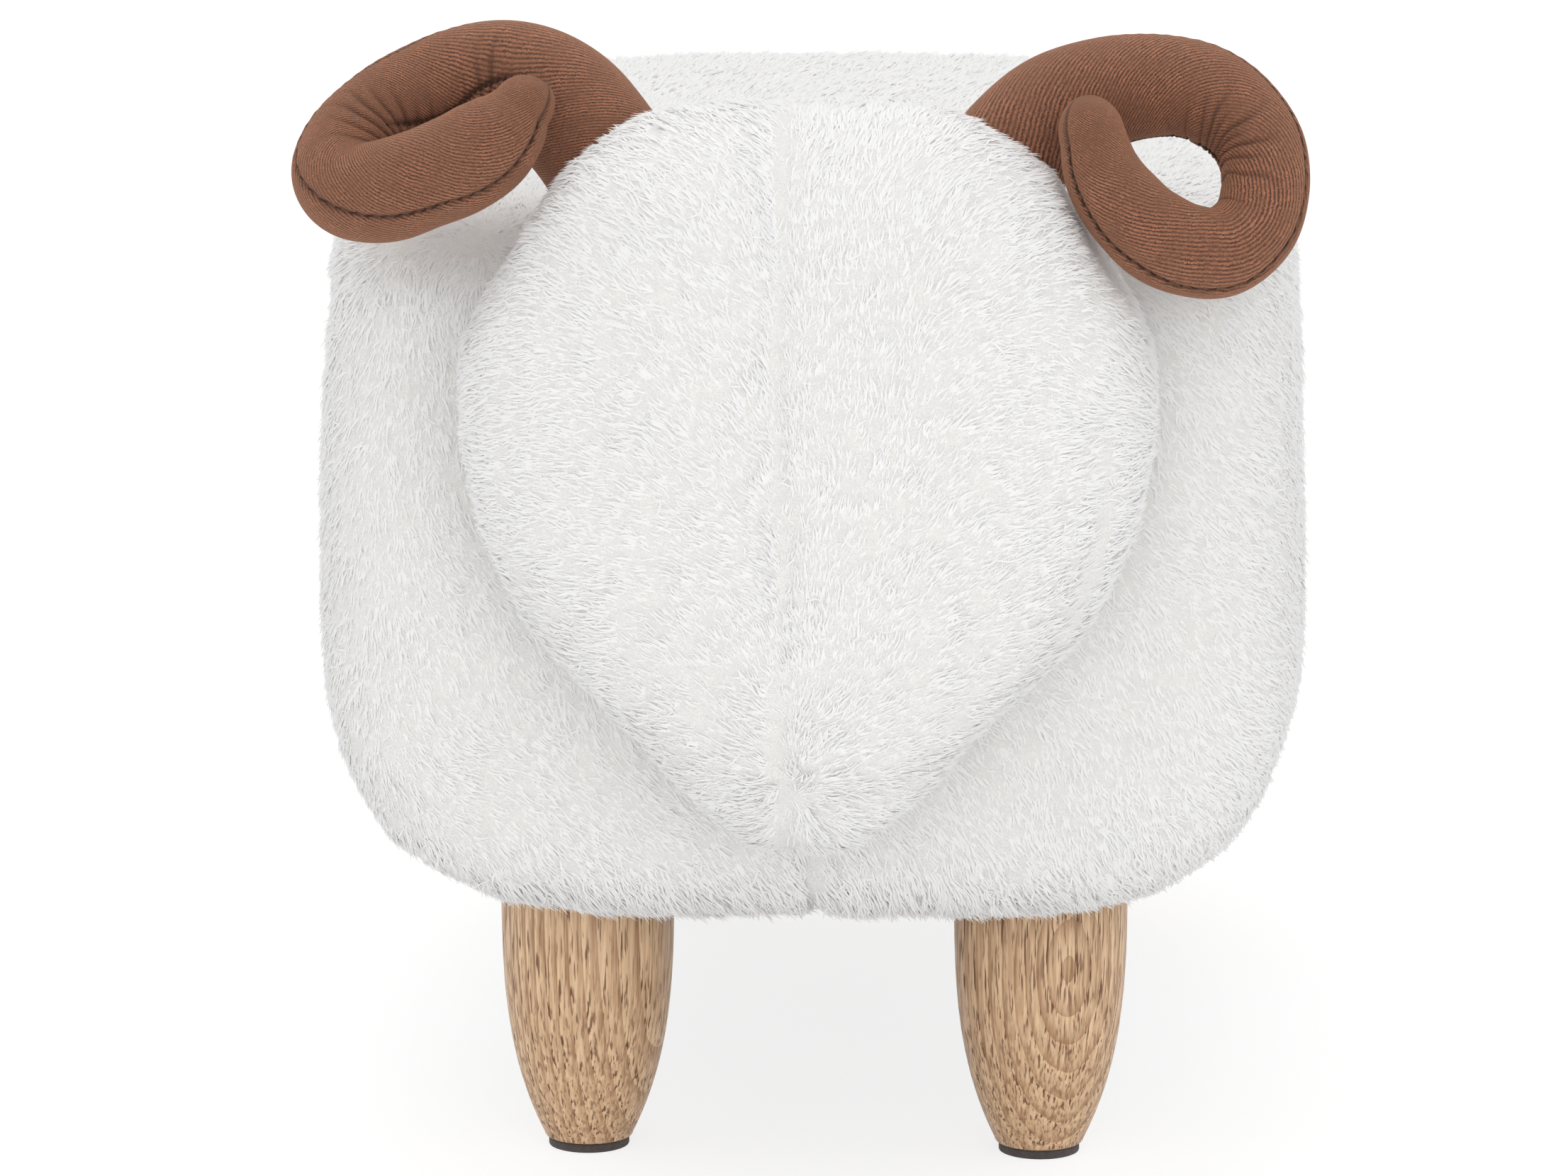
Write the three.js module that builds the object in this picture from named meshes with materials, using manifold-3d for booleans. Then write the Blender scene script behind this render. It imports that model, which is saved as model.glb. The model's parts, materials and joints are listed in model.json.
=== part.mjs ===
// Animal footstool: a plush sheep body on four turned legs, with a stuffed head and two curled horns.
// Millimetres, +Z up, the animal looks along -Y.
// The origin is on the floor, under the middle of the whole piece.
import * as THREE from "three";
import { mergeVertices } from "three/addons/utils/BufferGeometryUtils.js";
import Module from "manifold-3d";

const wasm = await Module();
wasm.setup();

// Fits
const clearance = 0.3;
const overrun = 2;
const samePoint = 0.0001;

// Plush body, measured over the plush
const bodyWidth = 335;
const bodyLength = 560;
const bodyHeight = 249;
const plushThickness = 5;
const underPadding = 6;
const bodyRoundness = 10;

// Right half of the body seen from the front, from the underside up:
// [share of half the width, share of the height]
const bodyOutlineShares = [
  [0, 0],
  [0.35, 0.001],
  [0.55, 0.01],
  [0.66, 0.022],
  [0.72, 0.036],
  [0.79, 0.058],
  [0.87, 0.098],
  [0.928, 0.158],
  [0.968, 0.23],
  [0.993, 0.31],
  [1, 0.4],
  [0.996, 0.56],
  [0.99, 0.72],
  [0.978, 0.84],
  [0.962, 0.92],
  [0.9, 0.968],
  [0.75, 0.984],
  [0.4, 0.996],
  [0, 1],
];

// Wooden frame inside the body
const frameWidth = 236;
const frameLength = 450;
const frameHeight = 184;
const baseBoardThickness = 12;
const seatBoardThickness = 12;
const panelThickness = 12;
const braceThickness = 12;

// Plush turned in under the frame, and the cloth that closes the opening it leaves
const turnIn = 6;
const dustCoverThickness = 0.8;

// Legs, with the felt pads under them
const legLength = 101;
const legTopDiameter = 60;
const legFootDiameter = 31;
const legSwell = 3.35;
const legEdgeRound = 1.2;
const legInset = 39.5;
const padDiameter = 28;
const padThickness = 3;

// Fixing of the legs
const legBlockSide = 60;
const legBlockHeight = 25;
const boltDiameter = 8;
const boltDepthInLeg = 45;
const boltPointLength = 6;
const boltHoleSpare = 2;
const boltProud = 3;
const teeNutBarrelDiameter = 10.6;
const teeNutBarrelLength = 12;
const teeNutFlangeDiameter = 22;
const teeNutFlangeThickness = 1.6;

// Screws of the frame
const screwLength = 45;
const screwDiameter = 4;
const screwHeadDiameter = 8.4;
const screwHeadHeight = 2.6;
const screwPointLength = 6;
const screwSpacing = 130;

// Head, measured over the plush
const headWidth = 227;
const headHeight = 246;
const headUnderside = 133;
const headReach = 82;
const headRimReach = 26;
const headOverlap = 52;
const headRoundness = 2.9;
const headAside = 4;

// Right half of the head seen from the front, from the muzzle up:
// [share of half the width, share of the height]
const headOutlineShares = [
  [0, 0],
  [0.14, 0.012],
  [0.32, 0.074],
  [0.51, 0.161],
  [0.66, 0.231],
  [0.8, 0.306],
  [0.92, 0.417],
  [0.98, 0.512],
  [1, 0.6],
  [0.985, 0.67],
  [0.935, 0.735],
  [0.85, 0.8],
  [0.77, 0.865],
  [0.66, 0.93],
  [0.46, 0.98],
  [0.2, 0.997],
  [0, 1],
];

// Horns, measured over the cloth
const hornClothThickness = 1.5;
const hornSpan = 120;
const hornRise = 100;
const hornDepth = 50;
const hornRootThickness = 40;
const hornRootFromMiddle = 44;
const hornLowest = 298;
const hornFromFront = 4;

// Run of each horn from its root in the head to its tip:
// [share of the span outwards, of the depth forwards, of the rise, of the root's thickness]
const rightHornShares = [
  [0.1, 0.1, 0.44, 1],
  [0.2, 0.06, 0.61, 1],
  [0.325, 0.03, 0.745, 0.975],
  [0.458, 0.02, 0.81, 0.89],
  [0.592, 0.04, 0.833, 0.83],
  [0.708, 0.1, 0.815, 0.79],
  [0.805, 0.2, 0.745, 0.755],
  [0.865, 0.32, 0.647, 0.725],
  [0.876, 0.45, 0.529, 0.7],
  [0.847, 0.56, 0.415, 0.7],
  [0.765, 0.65, 0.34, 0.72],
  [0.663, 0.72, 0.35, 0.73],
  [0.568, 0.77, 0.413, 0.715],
  [0.494, 0.8, 0.505, 0.69],
  [0.445, 0.79, 0.6, 0.63],
  [0.418, 0.77, 0.715, 0.53],
];
const leftHornShares = [
  [0.083, 0.1, 0.46, 1],
  [0.167, 0.02, 0.63, 1],
  [0.275, -0.08, 0.765, 0.985],
  [0.4, -0.15, 0.83, 0.96],
  [0.525, -0.16, 0.825, 0.93],
  [0.65, -0.11, 0.775, 0.89],
  [0.765, 0, 0.702, 0.85],
  [0.84, 0.16, 0.625, 0.81],
  [0.86, 0.34, 0.55, 0.77],
  [0.815, 0.5, 0.502, 0.76],
  [0.725, 0.6, 0.503, 0.765],
  [0.62, 0.65, 0.545, 0.77],
  [0.518, 0.67, 0.597, 0.765],
  [0.44, 0.68, 0.658, 0.715],
  [0.383, 0.68, 0.724, 0.6],
  [0.347, 0.67, 0.783, 0.44],
];

// How finely the curved pieces are divided
const bodyOutlineSteps = 25;
const headOutlineSteps = 20;
const liningOutlineSteps = 14;
const bodyRings = 20;
const headRings = 16;
const liningRings = 10;
const hornSides = 12;
const hornRings = 34;
const hornTipRings = 4;
const liningSides = 8;
const liningHornRings = 20;
const legSides = 24;
const legRings = 10;
const boltSides = 12;
const screwSides = 8;

// Levels and places worked out from the sizes
const legTop = padThickness + clearance + legLength;
const dustCoverBottom = legTop + clearance;
const baseBottom = dustCoverBottom + dustCoverThickness + clearance;
const baseTop = baseBottom + baseBoardThickness;
const frameTop = baseBottom + frameHeight;
const seatBoardBottom = frameTop - seatBoardThickness;
const panelBottom = baseTop + clearance;
const panelTop = seatBoardBottom - clearance;
const bodyBottom = baseBottom - clearance - underPadding - plushThickness;
const bodyMiddle = bodyBottom + bodyHeight / 2;
const bodyFront = -bodyLength / 2;
const openingWidth = frameWidth - 2 * turnIn;
const openingLength = frameLength - 2 * turnIn;
const legAcross = frameWidth / 2 - legInset;
const legAlong = frameLength / 2 - legInset;
const legBlockBottom = baseTop + clearance;
const legBlockTop = legBlockBottom + legBlockHeight;
const teeNutSeat = legBlockTop + clearance;
const teeNutTop = teeNutSeat + teeNutFlangeThickness;
const boltHoleDiameter = boltDiameter + 2 * clearance;
const boltBottom = legTop - boltDepthInLeg;
const boltTop = teeNutTop + boltProud;
const screwHoleDiameter = screwDiameter + 2 * clearance;
const screwAlong = frameLength / 2 - panelThickness / 2;

const plush = new THREE.MeshStandardMaterial({ color: 0xf0efed, roughness: 1, metalness: 0 });
const velvet = new THREE.MeshStandardMaterial({ color: 0x855a45, roughness: 0.85, metalness: 0 });
const paleWood = new THREE.MeshStandardMaterial({ color: 0xc4a07a, roughness: 0.6, metalness: 0 });
const felt = new THREE.MeshStandardMaterial({ color: 0x5e5652, roughness: 1, metalness: 0 });
const plywood = new THREE.MeshStandardMaterial({ color: 0xd6bd92, roughness: 0.7, metalness: 0 });
const steel = new THREE.MeshStandardMaterial({ color: 0xb9bcbe, roughness: 0.35, metalness: 1 });
const foam = new THREE.MeshStandardMaterial({ color: 0xe9e3c9, roughness: 0.95, metalness: 0 });
const stuffing = new THREE.MeshStandardMaterial({ color: 0xf6f6f4, roughness: 1, metalness: 0 });
const liningCloth = new THREE.MeshStandardMaterial({ color: 0x232323, roughness: 0.95, metalness: 0 });

// A closed three.js geometry as a solid that can be cut and joined.
function solidOf(geometry) {
  const bare = geometry.clone();
  bare.deleteAttribute("normal");
  bare.deleteAttribute("uv");
  const merged = mergeVertices(bare, samePoint);
  return new wasm.Manifold(
    new wasm.Mesh({
      numProp: 3,
      vertProperties: new Float32Array(merged.attributes.position.array),
      triVerts: new Uint32Array(merged.index.array),
    }),
  );
}

function geometryOf(solid) {
  const mesh = solid.getMesh();
  const geometry = new THREE.BufferGeometry();
  geometry.setAttribute("position", new THREE.BufferAttribute(mesh.vertProperties, 3));
  geometry.setIndex(new THREE.BufferAttribute(mesh.triVerts, 1));
  return geometry;
}

function piece(name, solid, material) {
  const shown = geometryOf(solid).toNonIndexed();
  shown.computeVertexNormals();
  const mesh = new THREE.Mesh(shown, material);
  mesh.name = name;
  return mesh;
}

function box(low, high) {
  const size = new THREE.Vector3().subVectors(high, low);
  const middle = new THREE.Vector3().addVectors(low, high).divideScalar(2);
  return solidOf(new THREE.BoxGeometry(size.x, size.y, size.z).translate(middle.x, middle.y, middle.z));
}

// A round solid on the Z axis. Its [radius, height] points run from the axis at the bottom
// to the axis at the top.
function turned(profile, sides) {
  const points = profile.map(([radius, height]) => new THREE.Vector2(radius, height));
  return solidOf(new THREE.LatheGeometry(points, sides).rotateX(Math.PI / 2));
}

function rod(diameter, bottom, top, sides) {
  return turned([[0, bottom], [diameter / 2, bottom], [diameter / 2, top], [0, top]], sides);
}

// A whole outline from the shares of its right half, evenly spaced from the lowest point round to the left.
function mirroredOutline(shares, width, height, bottom, steps) {
  const right = shares.map(([across, up]) => new THREE.Vector2((across * width) / 2, bottom + up * height));
  const half = new THREE.SplineCurve(right).getSpacedPoints(steps);
  const left = half.slice(1, -1).reverse().map((point) => new THREE.Vector2(-point.x, point.y));
  return [...half, ...left];
}

// A stuffed form: the outline in X and Z shrinks to a point in front and behind,
// along a rounded profile in Y.
function softForm(outline, middleHeight, rim, front, rear, roundness, rings) {
  const positions = [0, front, middleHeight];
  for (let ring = 1; ring < rings; ring++) {
    const angle = (ring / rings - 1 / 2) * Math.PI;
    const run = Math.abs(Math.sin(angle)) ** (2 / roundness);
    const share = Math.cos(angle) ** (2 / roundness);
    const along = angle < 0 ? rim + (front - rim) * run : rim + (rear - rim) * run;
    for (const point of outline) {
      positions.push(point.x * share, along, middleHeight + (point.y - middleHeight) * share);
    }
  }
  positions.push(0, rear, middleHeight);
  const count = outline.length;
  const last = positions.length / 3 - 1;
  const faces = [];
  for (let side = 0; side < count; side++) {
    const next = (side + 1) % count;
    faces.push(0, 1 + side, 1 + next);
    for (let ring = 0; ring < rings - 2; ring++) {
      const near = 1 + ring * count;
      const far = near + count;
      faces.push(near + side, far + side, far + next, near + side, far + next, near + next);
    }
    faces.push(last, last - count + next, last - count + side);
  }
  const geometry = new THREE.BufferGeometry();
  geometry.setAttribute("position", new THREE.Float32BufferAttribute(positions, 3));
  geometry.setIndex(faces);
  return solidOf(geometry);
}

// The body's form, drawn in by a distance all round.
function bodyForm(inset, steps, rings) {
  const height = bodyHeight - 2 * inset;
  const width = bodyWidth - 2 * inset;
  const outline = mirroredOutline(bodyOutlineShares, width, height, bodyBottom + inset, steps);
  const rear = bodyLength / 2 - inset;
  return softForm(outline, bodyMiddle, 0, -rear, rear, bodyRoundness, rings);
}

// The head's form, drawn in by a distance all round.
function headForm(inset, steps, rings) {
  const height = headHeight - 2 * inset;
  const width = headWidth - 2 * inset;
  const outline = mirroredOutline(headOutlineShares, width, height, headUnderside + inset, steps);
  const rim = bodyFront - headRimReach;
  const front = bodyFront - headReach + inset;
  const rear = bodyFront + headOverlap - inset;
  const middle = headUnderside + headHeight / 2;
  return softForm(outline, middle, rim, front, rear, headRoundness, rings).translate([headAside, 0, 0]);
}

// A horn's form: a tapering tube through its run with a round tip, drawn in by a distance all round.
function hornForm(shares, side, inset, sides, rings) {
  const places = shares.map(
    ([out, forward, up]) =>
      new THREE.Vector3(
        side * (hornRootFromMiddle + out * hornSpan),
        bodyFront - hornFromFront - forward * hornDepth,
        hornLowest + up * hornRise,
      ),
  );
  const curve = new THREE.CatmullRomCurve3(places, false, "centripetal");
  const frames = curve.computeFrenetFrames(rings, false);
  const positions = [];
  function addRing(middle, frame, radius) {
    for (let corner = 0; corner < sides; corner++) {
      const angle = (2 * Math.PI * corner) / sides;
      const spoke = new THREE.Vector3()
        .addScaledVector(frames.normals[frame], Math.cos(angle))
        .addScaledVector(frames.binormals[frame], Math.sin(angle));
      positions.push(...middle.clone().addScaledVector(spoke, radius).toArray());
    }
  }
  let radius = 0;
  for (let ring = 0; ring <= rings; ring++) {
    const along = curve.getUtoTmapping(ring / rings) * (shares.length - 1);
    const low = Math.min(Math.floor(along), shares.length - 2);
    const share = THREE.MathUtils.lerp(shares[low][3], shares[low + 1][3], along - low);
    radius = (share * hornRootThickness) / 2 - inset;
    addRing(curve.getPointAt(ring / rings), ring, radius);
  }
  const end = curve.getPointAt(1);
  const ahead = frames.tangents[rings];
  for (let ring = 1; ring < hornTipRings; ring++) {
    const angle = ((ring / hornTipRings) * Math.PI) / 2;
    addRing(end.clone().addScaledVector(ahead, radius * Math.sin(angle)), rings, radius * Math.cos(angle));
  }
  const ringCount = rings + hornTipRings;
  const rootMiddle = positions.length / 3;
  positions.push(...curve.getPointAt(0).toArray());
  positions.push(...end.clone().addScaledVector(ahead, radius).toArray());
  const tip = rootMiddle + 1;
  const faces = [];
  for (let corner = 0; corner < sides; corner++) {
    const next = (corner + 1) % sides;
    faces.push(rootMiddle, next, corner);
    for (let ring = 0; ring < ringCount - 1; ring++) {
      const near = ring * sides;
      const far = near + sides;
      faces.push(near + corner, near + next, far + next, near + corner, far + next, far + corner);
    }
    const lastRing = (ringCount - 1) * sides;
    faces.push(lastRing + corner, lastRing + next, tip);
  }
  const geometry = new THREE.BufferGeometry();
  geometry.setAttribute("position", new THREE.Float32BufferAttribute(positions, 3));
  geometry.setIndex(faces);
  return solidOf(geometry);
}

// Plush cover of the body, open underneath.
function makeBodyCover() {
  const outside = bodyForm(0, bodyOutlineSteps, bodyRings);
  const inside = bodyForm(plushThickness, liningOutlineSteps, liningRings);
  const opening = box(
    new THREE.Vector3(-openingWidth / 2, -openingLength / 2, bodyBottom - overrun),
    new THREE.Vector3(openingWidth / 2, openingLength / 2, bodyMiddle),
  );
  const frame = box(
    new THREE.Vector3(-frameWidth / 2 - clearance, -frameLength / 2 - clearance, baseBottom - clearance),
    new THREE.Vector3(frameWidth / 2 + clearance, frameLength / 2 + clearance, frameTop + clearance),
  );
  return piece("body_cover", outside.subtract(inside).subtract(opening).subtract(frame), plush);
}

// Blocks of foam that fill the room between the frame and the cover.
function makeFoams() {
  const inside = bodyForm(plushThickness + clearance, liningOutlineSteps, liningRings);
  const across = frameWidth / 2 + clearance;
  const along = frameLength / 2 + clearance;
  const far = bodyLength;
  const seatSplit = frameTop + clearance;
  const cuts = {
    seat_foam: [[-far, -far, seatSplit], [far, far, far]],
    front_foam: [[-far, -far, 0], [far, -along, seatSplit - clearance]],
    rear_foam: [[-far, along, 0], [far, far, seatSplit - clearance]],
    left_foam: [[-far, clearance - along, 0], [-across, along - clearance, seatSplit - clearance]],
    right_foam: [[across, clearance - along, 0], [far, along - clearance, seatSplit - clearance]],
  };
  return Object.entries(cuts).map(([name, [low, high]]) =>
    piece(name, inside.intersect(box(new THREE.Vector3(...low), new THREE.Vector3(...high))), foam),
  );
}

// A hole for a screw, with its countersink at height zero and its shank going down.
function screwHole(depth) {
  const head = screwHeadDiameter / 2 + clearance;
  const shank = screwHoleDiameter / 2;
  const coneBottom = -screwHeadHeight - clearance;
  const profile = [
    [0, -depth],
    [shank, -depth],
    [shank, coneBottom],
    [head, 0],
    [head, overrun],
    [0, overrun],
  ];
  return turned(profile, screwSides);
}

function screwSolid() {
  const shank = screwDiameter / 2;
  return turned(
    [
      [0, -screwLength],
      [shank, screwPointLength - screwLength],
      [shank, -screwHeadHeight],
      [screwHeadDiameter / 2, -clearance],
      [0, -clearance],
    ],
    screwSides,
  );
}

// Where each frame screw goes: its name, its place, and whether it is driven up from below.
function screwPlaces() {
  const places = [];
  for (const [level, height, turnedUp] of [["seat", frameTop, false], ["base", baseBottom, true]]) {
    for (const [end, along] of [["front", -screwAlong], ["rear", screwAlong]]) {
      for (const [hand, across] of [["left", -screwSpacing / 2], ["right", screwSpacing / 2]]) {
        const place = new THREE.Vector3(across, along, height);
        places.push({ name: `${level}_screw_${end}_${hand}`, place, turnedUp });
      }
    }
  }
  return places;
}

function cutScrewHoles(solid) {
  const hole = screwHole(screwLength + clearance);
  return screwPlaces().reduce((left, { place, turnedUp }) => {
    const aimed = turnedUp ? hole.rotate([180, 0, 0]) : hole;
    return left.subtract(aimed.translate(place.toArray()));
  }, solid);
}

function cutBoltHoles(solid, diameter) {
  const hole = rod(diameter, 0, frameTop, boltSides);
  let left = solid;
  for (const across of [-legAcross, legAcross]) {
    for (const along of [-legAlong, legAlong]) left = left.subtract(hole.translate([across, along, 0]));
  }
  return left;
}

// Boards and panels of the frame, a butt-jointed box screwed together from above and below.
function makeFrame() {
  const halfWidth = frameWidth / 2;
  const halfLength = frameLength / 2;
  const innerLength = halfLength - panelThickness - clearance;
  const innerWidth = halfWidth - panelThickness - clearance;
  const backToFront = [-halfLength, halfLength];
  const frontEnd = [-halfLength, panelThickness - halfLength];
  const rearEnd = [halfLength - panelThickness, halfLength];
  const betweenEnds = [-innerLength, innerLength];
  const middle = [-braceThickness / 2, braceThickness / 2];
  const fullWidth = [-halfWidth, halfWidth];
  const leftEdge = [-halfWidth, panelThickness - halfWidth];
  const rightEdge = [halfWidth - panelThickness, halfWidth];
  const betweenSides = [-innerWidth, innerWidth];
  const atBase = [baseBottom, baseTop];
  const atSeat = [seatBoardBottom, frameTop];
  const between = [panelBottom, panelTop];
  const boards = {
    base_board: [fullWidth, backToFront, atBase],
    seat_board: [fullWidth, backToFront, atSeat],
    front_panel: [fullWidth, frontEnd, between],
    rear_panel: [fullWidth, rearEnd, between],
    left_panel: [leftEdge, betweenEnds, between],
    right_panel: [rightEdge, betweenEnds, between],
    centre_brace: [betweenSides, middle, between],
  };
  return Object.entries(boards).map(([name, spans]) => {
    const low = new THREE.Vector3(...spans.map(([start]) => start));
    const high = new THREE.Vector3(...spans.map(([, end]) => end));
    let board = cutScrewHoles(box(low, high));
    if (name === "base_board") board = cutBoltHoles(board, boltHoleDiameter);
    return piece(name, board, plywood);
  });
}

function makeScrews() {
  const screw = screwSolid();
  return screwPlaces().map(({ name, place, turnedUp }) => {
    const mesh = piece(name, screw, steel);
    mesh.position.copy(place);
    if (turnedUp) mesh.rotation.x = Math.PI;
    return mesh;
  });
}

// Non-woven cloth that closes the opening, clamped between the legs and the base.
function makeDustCover() {
  const halfWidth = openingWidth / 2 - clearance;
  const halfLength = openingLength / 2 - clearance;
  const sheet = box(
    new THREE.Vector3(-halfWidth, -halfLength, dustCoverBottom),
    new THREE.Vector3(halfWidth, halfLength, dustCoverBottom + dustCoverThickness),
  );
  return piece("dust_cover", cutBoltHoles(sheet, boltHoleDiameter), liningCloth);
}

// One leg: straight at the top, drawn in ever faster towards the foot, with a blind hole for its bolt.
function legSolid() {
  const foot = padThickness + clearance;
  const footRadius = legFootDiameter / 2;
  const taper = legTopDiameter / 2 - footRadius;
  const profile = [[0, foot], [footRadius - legEdgeRound, foot]];
  for (let ring = 0; ring < legRings; ring++) {
    const share = ring / legRings;
    const height = foot + legEdgeRound + share * (legLength - 2 * legEdgeRound);
    profile.push([footRadius + taper * (1 - (1 - share) ** legSwell), height]);
  }
  const topRadius = legTopDiameter / 2;
  profile.push([topRadius, legTop - legEdgeRound], [topRadius - legEdgeRound, legTop], [0, legTop]);
  const hole = rod(boltHoleDiameter, boltBottom - boltHoleSpare, legTop + overrun, boltSides);
  return turned(profile, legSides).subtract(hole);
}

function boltSolid() {
  const radius = boltDiameter / 2;
  const shoulder = boltBottom + boltPointLength;
  const profile = [[0, boltBottom], [radius, shoulder], [radius, boltTop], [0, boltTop]];
  return turned(profile, boltSides);
}

function teeNutSolid() {
  const barrel = rod(teeNutBarrelDiameter, teeNutSeat - teeNutBarrelLength, teeNutSeat, boltSides);
  const flange = rod(teeNutFlangeDiameter, teeNutSeat, teeNutTop, 2 * boltSides);
  const boreBottom = teeNutSeat - teeNutBarrelLength - overrun;
  const bore = rod(boltHoleDiameter, boreBottom, teeNutTop + overrun, boltSides);
  return barrel.add(flange).subtract(bore);
}

// A block in the corner of the frame that takes the leg's bolt, drawn for the corner towards +X and +Y.
function legBlockSolid() {
  const reachAcross = frameWidth / 2 - panelThickness - clearance - legAcross;
  const reachAlong = frameLength / 2 - panelThickness - clearance - legAlong;
  const block = box(
    new THREE.Vector3(reachAcross - legBlockSide, reachAlong - legBlockSide, legBlockBottom),
    new THREE.Vector3(reachAcross, reachAlong, legBlockTop),
  );
  const barrelBottom = teeNutSeat - teeNutBarrelLength - clearance;
  const barrelHoleDiameter = teeNutBarrelDiameter + 2 * clearance;
  const barrelHole = rod(barrelHoleDiameter, barrelBottom, legBlockTop + overrun, boltSides);
  const boltHole = rod(boltHoleDiameter, legBlockBottom - overrun, legBlockTop, boltSides);
  return block.subtract(barrelHole).subtract(boltHole);
}

// Everything that stands at one corner: pad, leg, bolt, tee nut and block.
function makeCorner(name, signAcross, signAlong) {
  const corner = new THREE.Group();
  corner.position.set(signAcross * legAcross, signAlong * legAlong, 0);
  const block = legBlockSolid();
  const turnedBlock = block.scale([signAcross, signAlong, 1]);
  corner.add(
    piece(`${name}_pad`, rod(padDiameter, 0, padThickness, legSides), felt),
    piece(`${name}_leg`, legSolid(), paleWood),
    piece(`${name}_bolt`, boltSolid(), steel),
    piece(`${name}_tee_nut`, teeNutSolid(), steel),
    piece(`${name}_leg_block`, turnedBlock, plywood),
  );
  return corner;
}

// Head: a plush cover, open where it is sewn to the body, and the stuffing in it.
function makeHead() {
  const body = bodyForm(-clearance, bodyOutlineSteps, bodyRings);
  const inside = headForm(plushThickness, liningOutlineSteps, liningRings);
  const cover = headForm(0, headOutlineSteps, headRings).subtract(inside).subtract(body);
  const filling = headForm(plushThickness + clearance, liningOutlineSteps, liningRings).subtract(body);
  return [piece("head_cover", cover, plush), piece("head_stuffing", filling, stuffing)];
}

// Horns: a velvet tube, open at the root where it is sewn to the head, and the stuffing in it.
function makeHorns() {
  const head = headForm(-clearance, headOutlineSteps, headRings);
  const body = bodyForm(-clearance, bodyOutlineSteps, bodyRings);
  return [["right", 1, rightHornShares], ["left", -1, leftHornShares]].flatMap(([hand, side, shares]) => {
    const outside = hornForm(shares, side, 0, hornSides, hornRings);
    const inside = hornForm(shares, side, hornClothThickness, liningSides, liningHornRings);
    const core = hornForm(shares, side, hornClothThickness + clearance, liningSides, liningHornRings);
    const cover = outside.subtract(inside).subtract(head).subtract(body);
    const filling = core.subtract(head).subtract(body);
    return [piece(`${hand}_horn_cover`, cover, velvet), piece(`${hand}_horn_stuffing`, filling, stuffing)];
  });
}

const footstool = new THREE.Group();
// The head stands out in front, so the body sits back by half of that.
footstool.position.y = headReach / 2;
footstool.add(
  makeBodyCover(),
  ...makeFoams(),
  ...makeFrame(),
  ...makeScrews(),
  makeDustCover(),
  makeCorner("front_left", -1, -1),
  makeCorner("front_right", 1, -1),
  makeCorner("rear_left", -1, 1),
  makeCorner("rear_right", 1, 1),
  ...makeHead(),
  ...makeHorns(),
);
const part = new THREE.Group();
part.add(footstool);

export default part;
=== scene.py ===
"""Dresses the animal footstool: plush pile, velvet horns, turned wooden legs, and the stage.

The file is laid out as a Blender add-on. Each operator makes one piece or group of like pieces
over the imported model, and the panel in the sidebar lists them in the order in which they run.
Metres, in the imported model's frame: +Z up, the animal looks along -Y.
"""

import json
import math

import bpy
import numpy as np
from bpy.props import FloatProperty, FloatVectorProperty, IntProperty, PointerProperty
from mathutils import Matrix, Vector


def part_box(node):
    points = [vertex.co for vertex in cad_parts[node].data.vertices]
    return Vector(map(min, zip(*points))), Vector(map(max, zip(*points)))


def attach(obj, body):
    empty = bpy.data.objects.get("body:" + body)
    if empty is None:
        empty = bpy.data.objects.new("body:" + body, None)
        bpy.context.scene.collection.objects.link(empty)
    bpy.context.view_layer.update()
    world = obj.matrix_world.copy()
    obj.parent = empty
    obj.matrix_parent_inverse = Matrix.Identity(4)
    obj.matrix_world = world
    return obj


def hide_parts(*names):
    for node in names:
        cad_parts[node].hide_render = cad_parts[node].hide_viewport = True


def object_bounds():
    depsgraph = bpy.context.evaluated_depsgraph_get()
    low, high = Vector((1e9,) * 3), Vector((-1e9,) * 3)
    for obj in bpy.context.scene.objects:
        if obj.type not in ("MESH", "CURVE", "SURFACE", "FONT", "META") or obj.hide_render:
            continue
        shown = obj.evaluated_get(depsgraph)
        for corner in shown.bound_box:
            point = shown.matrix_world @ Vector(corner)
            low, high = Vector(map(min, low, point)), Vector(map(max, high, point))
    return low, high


bl_info = {
    "name": "Animal Footstool",
    "version": (1, 0, 0),
    "blender": (4, 5, 0),
    "location": "View3D > Sidebar > Footstool",
    "description": "Dresses a plush animal footstool over its packed model",
    "category": "Object",
}

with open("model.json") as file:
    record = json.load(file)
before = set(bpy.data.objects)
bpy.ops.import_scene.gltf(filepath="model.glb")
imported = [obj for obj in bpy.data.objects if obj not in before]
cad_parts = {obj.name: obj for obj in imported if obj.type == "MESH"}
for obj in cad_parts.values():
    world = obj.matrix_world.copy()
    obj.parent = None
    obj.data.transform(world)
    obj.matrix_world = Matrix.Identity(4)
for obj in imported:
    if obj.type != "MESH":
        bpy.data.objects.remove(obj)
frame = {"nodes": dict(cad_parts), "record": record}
cad_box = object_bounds()

MM = 0.001
BODY = "root"
CORNERS = ("front_left", "front_right", "rear_left", "rear_right")
OPERATORS = []


def srgb(red, green, blue):
    """A colour written as 0 to 255 screen values, as linear light."""
    return tuple(
        value / 12.92 if value <= 0.04045 else ((value + 0.055) / 1.055) ** 2.4
        for value in (red / 255, green / 255, blue / 255)
    )


def shaded(colour, share):
    return tuple(share * value for value in colour)


def colour_property(name, description, red, green, blue):
    return FloatVectorProperty(
        name=name,
        description=description,
        default=srgb(red, green, blue),
        subtype="COLOR",
        size=3,
        min=0,
        max=1,
    )


def length_property(name, description, millimetres):
    return FloatProperty(
        name=name,
        description=description,
        default=millimetres * MM,
        subtype="DISTANCE",
        unit="LENGTH",
        min=0,
    )


def angle_property(name, description, degrees):
    return FloatProperty(
        name=name,
        description=description,
        default=math.radians(degrees),
        subtype="ANGLE",
        unit="ROTATION",
    )


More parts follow.
